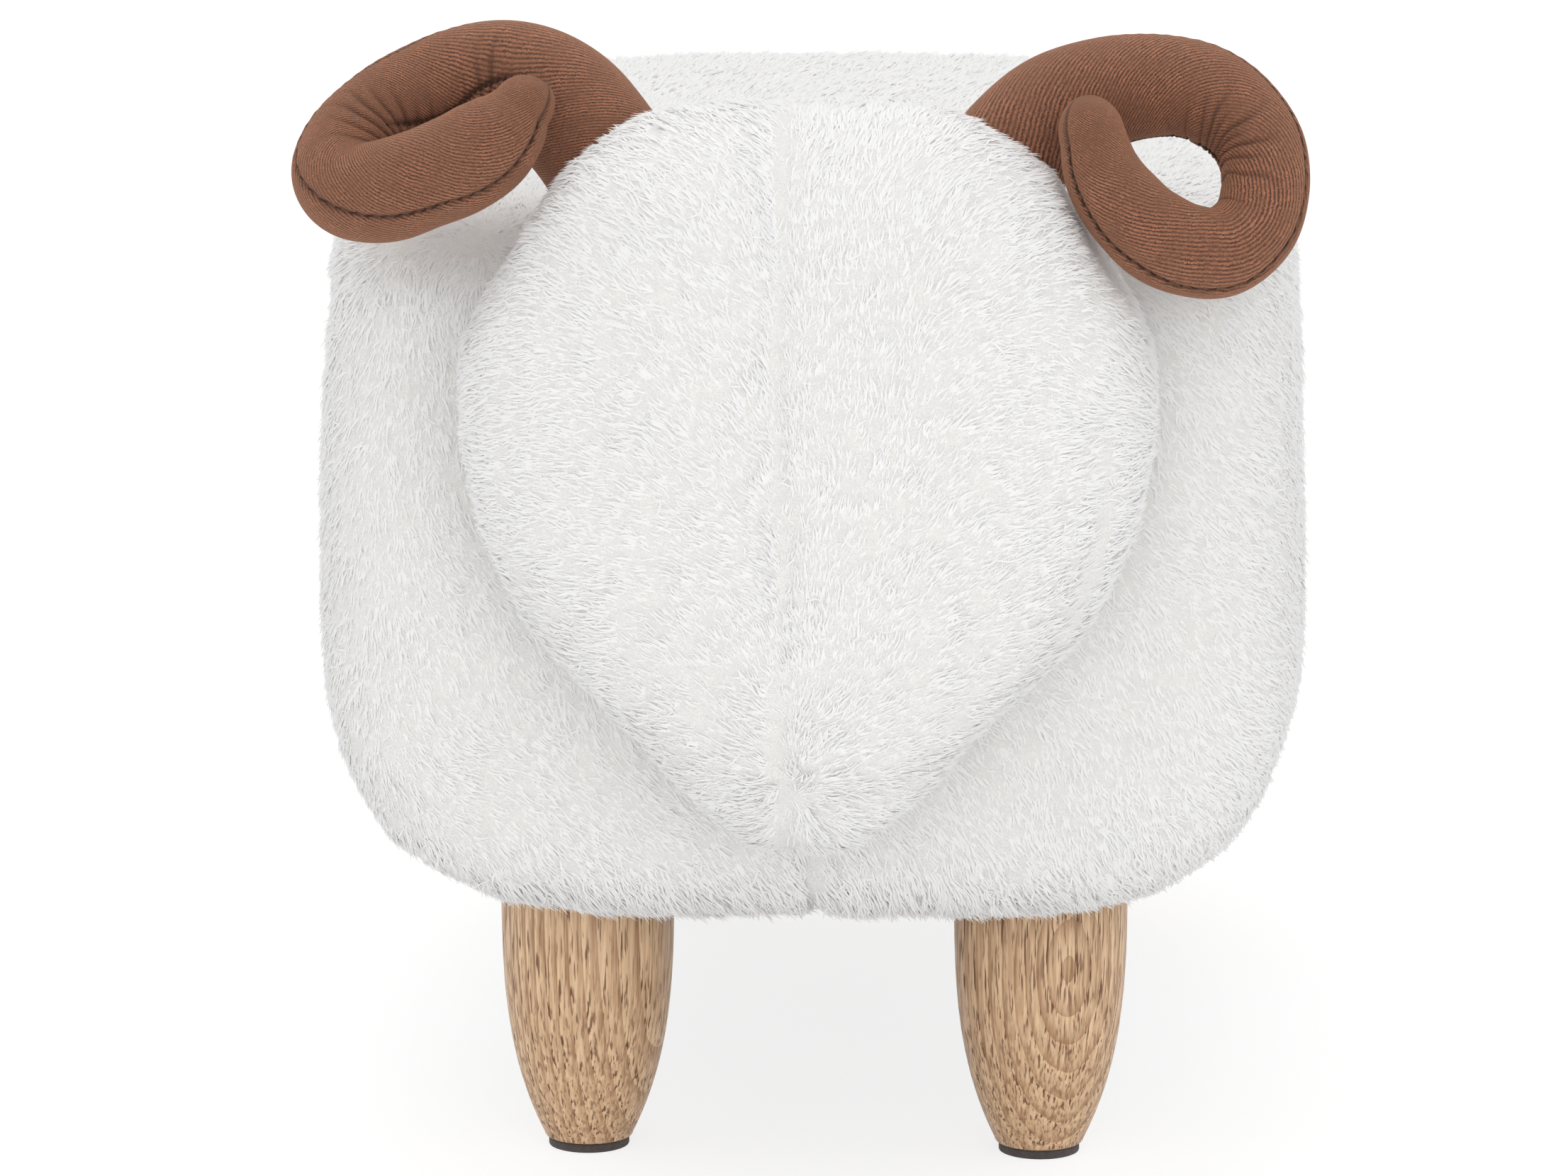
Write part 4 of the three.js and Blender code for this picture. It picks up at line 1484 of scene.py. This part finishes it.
@operator
class FOOTSTOOL_OT_body_pile(bpy.types.Operator):
    """Grow the plush pile of the body, longer round the underside"""

    bl_idname = "footstool.body_pile"
    bl_label = "Body pile"

    def execute(self, context):
        settings = context.scene.footstool_plush
        form = body_form().drawn_in(settings.backing_inset)
        grid, normals = dented_grid(form, body_dents)
        start, end = FINE_PILE_FADE
        near = 1 - smoothstep(grid[..., 1], form.front + start, form.front + end)
        near = np.maximum(near, smoothstep(-normals[..., 1], 0.2, 0.7))
        fine, coarse = settings.front_spacing, settings.rest_spacing
        tufts = scatter(grid, normals, coarse + (fine - coarse) * near, settings.seed)
        self.clear(tufts, settings)
        nearness = (coarse - tufts.spacing) / (coarse - fine)
        rng = np.random.default_rng(settings.seed + 40)
        count = len(tufts.roots)
        few, more = COARSE_STRANDS, HEAD_STRANDS - COARSE_STRANDS
        tufts.strands = np.floor(few + more * nearness + rng.random(count)).astype(int)
        tufts.strands = np.where(nearness < 0.05, few, tufts.strands)
        tufts.widths = settings.rest_width + nearness * (settings.front_width - settings.rest_width)
        roots, facing = tufts.roots, tufts.normals
        combs = body_comb(roots, facing, settings.seed)
        fringe = smoothstep(form.bottom + FRINGE_HEIGHT - roots[:, 2], 0, FRINGE_FADE)
        under = smoothstep(-facing[:, 2], 0.5, 0.95)
        hanging = unit(np.array([0, 0, -1.0]) + facing * facing[:, 2:3] + 1e-6)
        share = (0.75 * fringe * (1 - under))[:, None]
        tufts.combs = unit(combs * (1 - share) + hanging * share)
        longer = settings.fringe_length - settings.pile_length
        tufts.lengths = settings.pile_length + fringe * (1 - 0.6 * under) * longer
        tufts.lengths = tufts.lengths * rng.uniform(*TUFT_LENGTHS, count)
        tufts.leans = settings.lean + rng.normal(0, TUFT_LEANS, count)
        tufts.leans = tufts.leans - COARSE_RISE * (1 - nearness) - FRINGE_RISE * fringe
        add_pile("body_pile", tufts, settings, pile_material(settings), settings.seed + 41)
        return {"FINISHED"}

    def clear(self, tufts, settings):
        """Takes away the tufts inside the head, the horns, the legs and the opening."""
        roots = tufts.roots
        opening = over_opening(roots) & (tufts.normals[:, 2] < -0.7)
        head = head_form().drawn_in(settings.backing_inset + settings.head_inset)
        kept = ~opening & (head.level(roots) > BODY_IN_HEAD)
        tufts.keep(kept & (horn_room(roots) > TUFT_ROOM) & away_from_legs(roots, TUFT_ROOM))


@operator
class FOOTSTOOL_OT_head_pile(bpy.types.Operator):
    """Grow the plush pile of the head, short in its seams and longer at its edge and the horns"""

    bl_idname = "footstool.head_pile"
    bl_label = "Head pile"

    def execute(self, context):
        settings = context.scene.footstool_plush
        form = head_form().drawn_in(settings.backing_inset + settings.head_inset)
        grid, normals = dented_grid(form, head_dents)
        seam = groove(grid[..., 0] - SEAM_ASIDE, 6 * MM)
        seam = seam * smoothstep(form.rim - grid[..., 1], *HEAD_SEAM_FADE)
        whorl = muzzle_whorl(grid.reshape(-1, 3)).reshape(seam.shape)
        spacing = settings.front_spacing * (1 - 0.4 * np.maximum(seam, whorl))
        tufts = scatter(grid, normals, spacing, settings.seed + 1)
        body = body_form().drawn_in(settings.backing_inset)
        clear = body.level(tufts.roots) > HEAD_IN_BODY
        tufts.keep(clear & (horn_room(tufts.roots) > TUFT_ROOM))
        rng = np.random.default_rng(settings.seed + 50)
        count = len(tufts.roots)
        roots, facing = tufts.roots, tufts.normals
        tufts.strands = np.full(count, HEAD_STRANDS)
        seam = groove(roots[:, 0] - SEAM_ASIDE, 5 * MM)
        tufts.widths = settings.front_width * (1 - 0.25 * seam)
        near_horn = 1 - smoothstep(horn_room(roots), 1 * MM, 13 * MM)
        combs = head_comb(roots, facing, settings.seed + 2)
        middle = np.array([form.middle, form.rim, form.height])
        outward = laid_across(roots - middle, facing)
        share = 0.35 * near_horn[:, None]
        tufts.combs = unit(combs * (1 - share) + outward * share)
        edge = smoothstep(np.hypot(facing[:, 0], facing[:, 2]), 0.75, 1.0)
        tufts.lengths = settings.pile_length * rng.uniform(*TUFT_LENGTHS, count)
        tufts.lengths = tufts.lengths * (1 - 0.4 * near_horn) * (1 - 0.15 * seam)
        tufts.leans = settings.lean + rng.normal(0, TUFT_LEANS, count)
        tufts.leans = tufts.leans - EDGE_RISE * np.maximum(edge, near_horn)
        tufts.leans = tufts.leans - EDGE_RISE * seam - WHORL_RISE * muzzle_whorl(roots)
        material = bpy.data.materials["plush_pile"]
        add_pile("head_pile", tufts, settings, material, settings.seed + 51)
        return {"FINISHED"}


HORN_SIDES = 132
HORN_TIP_RINGS = 16
HORN_TIP_REACH = 1.2
HORN_TIP_TURN = 0.98 * math.pi / 2
OUTER_SEAM_WIDTH = 1.0 * MM
INNER_SEAM_WIDTH = 1.2 * MM
INNER_SEAM_DEPTH = 1.3
# The left horn is fuller on the inside of its curl, so that the curl closes on itself
INNER_FULLNESS = 2.2 * MM
# Rows of stitches: [shares of the run where they start and end, share of the pitch, share of the
# length, turn across the seam in radians]
OUTER_STITCHES = (0.3, 1.0, 1.0, 1.0, 0.03)
# The inner row is partly painted shade: its short dark thread dashes stand for the shade in the
# gathers along the inner seam
INNER_STITCHES_AND_GATHER_SHADE = (0.2, 0.58, 0.7, 0.35, 0.06)
STITCH_SIDES = 6
STITCH_THICKNESS = 0.3 * MM
# Where the seams run round a horn, at even shares of its run: forwards of the outermost line
RIGHT_SEAM = np.radians([-30, -28, -14, 10, 38, 46, 38])
LEFT_SEAM = np.radians([-30, -28, -14, 18, 52, 62, 40])
RIGHT_INNER_SEAM = np.radians([165, 165, 165, 165, 165, 165, 165])
LEFT_INNER_SEAM = np.radians([90, 90, 92, 118, 150, 160, 160])
# How far the ribs slant across each horn, at even shares of its run: 0 is along the horn
RIGHT_RIBS = (0.0, 0.5, 1.0, 0.7, 0.2, -0.3, 0.6, 1.4)
LEFT_RIBS = (-1.7, -1.2, 0.3, 1.0, 1.0, 0.6, 0.8, 0.9)
# Creases that run out of the curl: [share of the run, reach round the tube, slant, depth's share]
RIGHT_CREASES = (
    (0.36, 0.9, 0.2, 0.4),
    (0.405, 1.3, 0.25, 0.6),
    (0.438, 1.6, 0.3, 0.8),
    (0.462, 1.8, 0.2, 1.0),
    (0.482, 1.4, 0.1, 0.8),
    (0.505, 2.0, 0.0, 1.0),
    (0.524, 1.2, -0.1, 0.9),
    (0.546, 1.9, -0.15, 1.0),
    (0.572, 1.4, -0.2, 0.9),
    (0.605, 1.6, -0.25, 0.8),
    (0.66, 1.0, -0.2, 0.4),
)
LEFT_CREASES = (
    (0.235, 1.4, 0.15, 0.5),
    (0.3, 2.4, 0.1, 1.0),
    (0.322, 2.2, 0.05, 0.9),
    (0.352, 1.8, 0.1, 0.6),
    (0.395, 1.3, 0.1, 0.8),
    (0.425, 1.5, 0.2, 0.9),
    (0.452, 1.4, 0.25, 1.0),
    (0.478, 1.8, 0.2, 1.0),
    (0.505, 1.9, 0.1, 1.0),
    (0.53, 2.1, 0.0, 1.0),
    (0.556, 2.0, -0.1, 1.0),
    (0.585, 1.5, -0.1, 0.8),
    (0.62, 1.2, -0.1, 0.5),
)


def wrapped(angle):
    return (angle + math.pi) % (2 * math.pi) - math.pi


class HornTube:
    """A horn's surface: rings round its run, with frames that know which way is out of the curl."""

    EASINGS = 40

    def __init__(self, shares, side, creases, outer_seam, inner_seam, ribs):
        self.creases, self.side, self.ribs = creases, side, ribs
        self.outer_seam, self.inner_seam = outer_seam, inner_seam
        run = horn_run(shares, side)
        self.middles, self.radii = run[:, :3], run[:, 3]
        self.tangents = unit(np.gradient(self.middles, axis=0))
        self.lengths = distances_along(self.middles)
        outward = self.middles - self.middles[len(run) // 3 :].mean(axis=0)
        outward[:, 1] = 0
        outward = laid_across(outward, self.tangents)
        for _ in range(self.EASINGS):
            outward[1:-1] = unit(outward[:-2] + 2 * outward[1:-1] + outward[2:])
        self.outward = laid_across(outward, self.tangents)
        forward = np.cross(self.tangents, self.outward)
        self.forward = forward * np.where(forward[:, 1] < 0, 1, -1)[:, None]

    def spoke(self, ring, angle):
        """Direction from the middle line: 0 is out of the curl, a quarter turn is forwards."""
        return self.outward[ring] * math.cos(angle) + self.forward[ring] * math.sin(angle)

    def turn(self, seam, run):
        return np.interp(run / self.lengths[-1], np.linspace(0, 1, len(seam)), seam)

    def skin(self, angles, settings):
        """Radius at each ring and angle, and the painted shadow of each place: how far it lies in a
        seam or crease.
        """
        radius = self.radii[:, None] * np.ones_like(angles)
        run = self.lengths[:, None] * np.ones_like(angles)
        from_outer = wrapped(angles - self.turn(self.outer_seam, run)) * radius
        from_inner = wrapped(angles - self.turn(self.inner_seam, run)) * radius
        outer = groove(from_outer, OUTER_SEAM_WIDTH)
        inner = groove(from_inner, INNER_SEAM_WIDTH)
        share = run / self.lengths[-1]
        inner *= smoothstep(share, 0.2, 0.3) * smoothstep(-share, -0.56, -0.48)
        shadow = np.maximum(outer, inner)
        depth = settings.seam_depth * (outer + INNER_SEAM_DEPTH * inner)
        round_inside = np.abs(wrapped(angles - math.pi + 0.45))
        for place, reach, slant, strength in self.creases:
            middle = place * self.lengths[-1] + slant * (1.2 - round_inside) * radius
            wander = 0.5 * MM * np.sin(round_inside * 5 + place * 40)
            width = (0.7 + 0.5 * round_inside / reach) * MM
            crease = groove(run - middle - wander, width)
            crease *= strength * (1 - smoothstep(round_inside, 0.45 * reach, reach))
            depth += settings.gather_depth * crease
            # Creases take painted shadow as well as their depth
            shadow = np.maximum(shadow, 0.75 * crease)
        puffs = 0.16 * MM * np.cos(2 * math.pi * run / settings.stitch_pitch)
        puffs *= groove(from_outer, 2.6 * MM)
        spots = np.stack([run, radius * np.sin(angles), radius * np.cos(angles)], axis=-1)
        lumps = 0.4 * MM * noise(spots.reshape(-1, 3), 12 * MM, 61 + self.side)
        lumps = lumps.reshape(radius.shape)
        fuller = groove(wrapped(angles - math.pi), 0.9) * INNER_FULLNESS * (self.side < 0)
        return radius - depth + lumps - puffs + fuller, np.clip(shadow, 0, 1)


@operator
class FOOTSTOOL_OT_horns(bpy.types.Operator):
    """Make the two velvet horns, with their seams, creases and stitches"""

    bl_idname = "footstool.horns"
    bl_label = "Horns"

    def execute(self, context):
        settings = context.scene.footstool_horns
        velvet = velvet_material(settings)
        thread = mottled_material(
            "seam_thread",
            settings.thread_colour,
            settings.shade_colour,
            roughness=0.8,
            cloud=400.0,
            fibre=3000.0,
        )
        for hand, *build in (
            ("right", RIGHT_HORN, 1, RIGHT_CREASES, RIGHT_SEAM, RIGHT_INNER_SEAM, RIGHT_RIBS),
            ("left", LEFT_HORN, -1, LEFT_CREASES, LEFT_SEAM, LEFT_INNER_SEAM, LEFT_RIBS),
        ):
            tube = HornTube(*build)
            name = f"{hand}_horn_velvet"
            mesh = self.cloth_mesh(name, tube, settings)
            piece = add_piece(name, mesh, "brown_velvet", velvet, replaced=[f"{hand}_horn_cover"])
            stitches = self.stitch_mesh(f"{hand}_horn_stitches", tube, settings)
            add_piece(f"{hand}_horn_stitches", stitches, "brown_velvet", thread)
        return {"FINISHED"}

    def cloth_mesh(self, name, tube, settings):
        rings, count = len(tube.middles), HORN_SIDES
        angles = np.tile(2 * math.pi * np.arange(count) / count, (rings, 1))
        radius, shadow = tube.skin(angles, settings)
        spokes = tube.outward[:, None] * np.cos(angles)[..., None]
        spokes = spokes + tube.forward[:, None] * np.sin(angles)[..., None]
        grid = tube.middles[:, None] + spokes * radius[..., None]
        cap = []
        for step in range(1, HORN_TIP_RINGS + 1):
            rise = HORN_TIP_TURN * step / HORN_TIP_RINGS
            ahead = tube.tangents[-1] * tube.radii[-1] * HORN_TIP_REACH * math.sin(rise)
            cap.append(tube.middles[-1] + ahead + spokes[-1] * radius[-1][:, None] * math.cos(rise))
        grid = np.concatenate([grid, cap])
        points = grid.reshape(-1, 3)
        faces = ring_faces(len(grid), count)
        first = points[faces[0]]
        normal = np.cross(first[1] - first[0], first[3] - first[0])
        if normal @ (first.mean(axis=0) - grid[0].mean(axis=0)) < 0:
            faces = faces[:, ::-1]
        start, end = list(range(count)), [len(points) - count + side for side in range(count)]
        mesh = mesh_from_faces(name, points, [*faces.tolist(), start, end])
        # Painted shadow of the seams and creases, by which the velvet darkens its colour
        shadow = np.concatenate([shadow, np.tile(shadow[-1], (HORN_TIP_RINGS, 1))])
        set_values(mesh, "cloth_shadow", shadow.reshape(-1))
        self.lay_cloth(mesh, grid, tube)
        return mesh

    def lay_cloth(self, mesh, grid, tube):
        """A map in metres of cloth for the ribs: their slip along the horn, and the way round."""
        count = grid.shape[1]
        steps = np.linalg.norm(np.diff(grid[:, 0], axis=0), axis=1)
        places = np.linspace(0, tube.lengths[-1], len(tube.ribs))
        slants = np.interp(tube.lengths, places, tube.ribs)
        slipped = np.concatenate([[0], np.cumsum(slants[:-1] * np.diff(tube.lengths))])
        tip = slants[-1] * np.cumsum(steps[len(tube.lengths) - 1 :])
        run = np.concatenate([slipped, slipped[-1] + tip])
        girth = 2 * math.pi * 0.85 * tube.radii.mean()
        corner = np.empty(len(mesh.loops), np.int32)
        mesh.loops.foreach_get("vertex_index", corner)
        starts, sizes = np.empty((2, len(mesh.polygons)), np.int32)
        mesh.polygons.foreach_get("loop_start", starts)
        mesh.polygons.foreach_get("loop_total", sizes)
        share = corner % count / count
        highest = np.repeat(np.maximum.reduceat(share, starts), sizes)
        share = np.where((highest > 0.9) & (share < 0.1), share + 1, share)
        spots = np.stack([run[corner // count], share * girth], axis=1)
        layer = mesh.uv_layers.new(name="cloth_metres")
        layer.data.foreach_set("uv", spots.reshape(-1).astype(np.float32))

    def stitch_mesh(self, name, tube, settings):
        """Short stitches: along the outer seam, and closer ones along the gathered seam inside, whose
        dark dashes also paint the shade in its gathers.
        """
        points, faces = [], []
        sides = STITCH_SIDES
        rng = np.random.default_rng(5)
        whole = tube.lengths[-1]
        rows = []
        for seam, (start, end, pitch, share, skew) in (
            (tube.outer_seam, OUTER_STITCHES),
            (tube.inner_seam, INNER_STITCHES_AND_GATHER_SHADE),
        ):
            places = np.arange(start * whole, end * whole, pitch * settings.stitch_pitch)
            rows += [(seam, place, share, skew) for place in places]
        for seam, place, share, skew in rows:
            length = share * settings.stitch_length * rng.uniform(0.8, 1.2)
            ends = []
            for offset, turn in ((-0.5, -skew), (0, 0), (0.5, skew)):
                run = min(place + offset * length, whole)
                ring = min(int(np.searchsorted(tube.lengths, run)), len(tube.lengths) - 1)
                spoke = tube.spoke(ring, tube.turn(seam, run) + turn)
                lift = tube.radii[ring] - settings.seam_depth * (0.9 if offset else 0.4)
                ends.append(tube.middles[ring] + spoke * lift)
            line = smooth_line(np.array(ends), 3)
            along = unit(np.gradient(line, axis=0))
            out = unit(line - tube.middles[ring])
            across = unit(np.cross(along, out))
            base = len(points)
            for row, (spot, aside, away) in enumerate(zip(line, across, out)):
                girth = STITCH_THICKNESS * (0.35 if row in (0, len(line) - 1) else 1)
                for corner in range(sides):
                    angle = 2 * math.pi * corner / sides
                    spoke = aside * math.cos(angle) + away * math.sin(angle)
                    points.append(spot + spoke * girth)
            faces += ring_faces(len(line), sides, base).tolist()
            faces.append([base + corner for corner in range(sides)][::-1])
            faces.append([len(points) - sides + corner for corner in range(sides)])
        return mesh_from_faces(name, points, faces)


@operator
class FOOTSTOOL_OT_legs(bpy.types.Operator):
    """Turn the four wooden legs, each with its own run of the grain"""

    bl_idname = "footstool.legs"
    bl_label = "Legs"

    SIDES = 96
    ROUND_STEPS = 5
    SIDE_STEPS = 60

    def execute(self, context):
        settings = context.scene.footstool_legs
        for corner in CORNERS:
            low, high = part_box(f"{corner}_leg")
            middle = (low + high) / 2
            name = f"{corner}_turned_leg"
            mesh = turned_mesh(name, self.profile(low, high, settings), self.SIDES, middle)
            material = self.material(corner, middle, settings)
            add_piece(name, mesh, "pale_wood", material, replaced=[f"{corner}_leg"])
        return {"FINISHED"}

    def profile(self, low, high, settings):
        """Straight at the top, drawn in ever faster towards the foot, with both edges rounded."""
        foot = LEG_FOOT_DIAMETER / 2
        taper = (high.x - low.x) / 2 - foot
        ease = settings.edge_round
        points = []
        turns = np.linspace(0, math.pi / 2, self.ROUND_STEPS)
        for angle in turns:
            radius = foot - ease + ease * math.sin(angle)
            points.append((radius, low.z + ease - ease * math.cos(angle)))
        for share in np.linspace(0, 1, self.SIDE_STEPS)[1:-1]:
            height = low.z + ease + share * (high.z - low.z - 2 * ease)
            points.append((foot + taper * (1 - (1 - share) ** LEG_SWELL), height))
        for angle in turns:
            radius = foot + taper - ease + ease * math.cos(angle)
            points.append((radius, high.z - ease + ease * math.sin(angle)))
        return points

    def material(self, corner, middle, settings):
        """Rings seen edge on for some legs, and arched for the others."""
        arched = corner in ("front_right", "rear_left")
        if arched:
            pith = (middle.x + 9 * MM, middle.y - 22 * MM, middle.z + 18 * MM)
            cut = {"run": (1, 0.6, 0.42), "rings": 260.0, "wander": 0.008}
        else:
            pith = (middle.x - 90 * MM, middle.y + 30 * MM, middle.z)
            cut = {"run": (1, 1, 0.03), "rings": 240.0, "wander": 0.004}
        return wood_material(
            f"{corner}_leg_wood",
            settings.light_colour,
            settings.dark_colour,
            settings.pore_colour,
            pith,
            **cut,
        )


@operator
class FOOTSTOOL_OT_pads(bpy.types.Operator):
    """Make the felt pads under the legs"""

    bl_idname = "footstool.pads"
    bl_label = "Felt pads"

    SIDES = 64
    EDGE = 0.5 * MM

    def execute(self, context):
        settings = context.scene.footstool_legs
        felt = mottled_material(
            "grey_felt",
            settings.felt_colour,
            shaded(settings.felt_colour, 0.55),
            roughness=0.95,
            cloud=500.0,
            fibre=2600.0,
            depth=0.25 * MM,
            sheen=0.2,
        )
        for corner in CORNERS:
            low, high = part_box(f"{corner}_pad")
            middle = (low + high) / 2
            radius, ease = (high.x - low.x) / 2, self.EDGE
            edge = [(radius - a * ease, b * ease) for a, b in ((1, 0), (0.3, 0.3), (0, 1))]
            profile = [(across, low.z + up) for across, up in edge]
            profile += [(across, high.z - up) for across, up in reversed(edge)]
            name = f"{corner}_felt_pad"
            mesh = turned_mesh(name, profile, self.SIDES, middle)
            add_piece(name, mesh, "felt", felt, replaced=[f"{corner}_pad"])
        return {"FINISHED"}


@operator
class FOOTSTOOL_OT_padding(bpy.types.Operator):
    """Make the foam round the frame and the stuffing of the head and horns"""

    bl_idname = "footstool.padding"
    bl_label = "Foam and stuffing"

    SMALL = 60 * MM

    def execute(self, context):
        settings = context.scene.footstool_inside
        foam = mottled_material(
            "open_cell_foam",
            settings.foam_colour,
            shaded(settings.foam_colour, 0.82),
            roughness=0.95,
            cloud=300.0,
            fibre=1500.0,
            depth=0.5 * MM,
        )
        wadding = mottled_material(
            "white_wadding",
            settings.wadding_colour,
            shaded(settings.wadding_colour, 0.9),
            roughness=0.95,
            cloud=90.0,
            fibre=700.0,
            depth=0.8 * MM,
        )
        for node in ("seat_foam", "front_foam", "rear_foam", "left_foam", "right_foam"):
            self.add_soft(node, f"{node}_block", "foam", foam, settings)
        for node in ("head_stuffing", "right_horn_stuffing", "left_horn_stuffing"):
            self.add_soft(node, f"{node}_wadding", "stuffing", wadding, settings)
        return {"FINISHED"}

    def add_soft(self, node, name, slot, material, settings):
        """The node's shape with its edges eased, as foam and wadding are."""
        mesh = frame["nodes"][node].data.copy()
        mesh.materials.clear()
        piece = add_piece(name, mesh, slot, material, replaced=[node])
        small = min(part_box(node)[1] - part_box(node)[0]) < self.SMALL
        remesh = piece.modifiers.new("even_mesh", "REMESH")
        remesh.mode = "VOXEL"
        remesh.voxel_size = settings.voxel / 2 if small else settings.voxel
        ease = piece.modifiers.new("eased_edges", "SMOOTH")
        ease.iterations = 3
        graph = bpy.context.evaluated_depsgraph_get()
        eased = bpy.data.meshes.new_from_object(piece.evaluated_get(graph))
        piece.modifiers.clear()
        piece.data = eased
        eased.shade_smooth()


@operator
class FOOTSTOOL_OT_frame(bpy.types.Operator):
    """Finish the boards, blocks, screws, bolts and tee nuts inside, and the cloth underneath"""

    bl_idname = "footstool.frame"
    bl_label = "Frame and fasteners"

    def execute(self, context):
        settings = context.scene.footstool_inside
        legs = context.scene.footstool_legs
        plywood = wood_material(
            "birch_plywood",
            settings.plywood_colour,
            shaded(settings.plywood_colour, 0.8),
            legs.pore_colour,
            pith=(0.0, 0.0, -0.4),
            run=(1, 0.04, 1),
            rings=120.0,
            wander=0.02,
        )
        steel = steel_material(srgb(205, 208, 212), srgb(168, 172, 178))
        lining = mottled_material(
            "black_lining",
            settings.lining_colour,
            shaded(settings.lining_colour, 0.5),
            roughness=0.95,
            cloud=900.0,
            fibre=2400.0,
            depth=0.15 * MM,
        )
        finishes = {"plywood": plywood, "zinc_steel": steel, "lining_cloth": lining}
        for part in frame["record"]["subparts"]:
            node = frame["nodes"][part["node"]]
            finish = finishes.get(part["material_slot"])
            if finish:
                node.data.materials.clear()
                node.data.materials.append(finish)
        return {"FINISHED"}


# Panel and registration ---------------------------------------------------------------------------


class FOOTSTOOL_PT_pieces(bpy.types.Panel):
    """Lists the operators that dress the footstool, in order"""

    bl_idname = "FOOTSTOOL_PT_pieces"
    bl_label = "Footstool"
    bl_space_type = "VIEW_3D"
    bl_region_type = "UI"
    bl_category = "Footstool"

    def draw(self, context):
        column = self.layout.column(align=True)
        for cls in OPERATORS:
            column.operator(cls.bl_idname)


SETTINGS = {
    "footstool_plush": PlushSettings,
    "footstool_horns": HornSettings,
    "footstool_legs": LegSettings,
    "footstool_inside": InsideSettings,
    "footstool_stage": StageSettings,
}


def register():
    for name, cls in SETTINGS.items():
        bpy.utils.register_class(cls)
        setattr(bpy.types.Scene, name, PointerProperty(type=cls))
    for cls in (*OPERATORS, FOOTSTOOL_PT_pieces):
        bpy.utils.register_class(cls)


def unregister():
    for cls in (FOOTSTOOL_PT_pieces, *reversed(OPERATORS)):
        bpy.utils.unregister_class(cls)
    for name, cls in reversed(SETTINGS.items()):
        delattr(bpy.types.Scene, name)
        bpy.utils.unregister_class(cls)


def main():
    register()
    for cls in OPERATORS:
        group, name = cls.bl_idname.split(".")
        getattr(getattr(bpy.ops, group), name)()


if __name__ == "__main__":
    main()
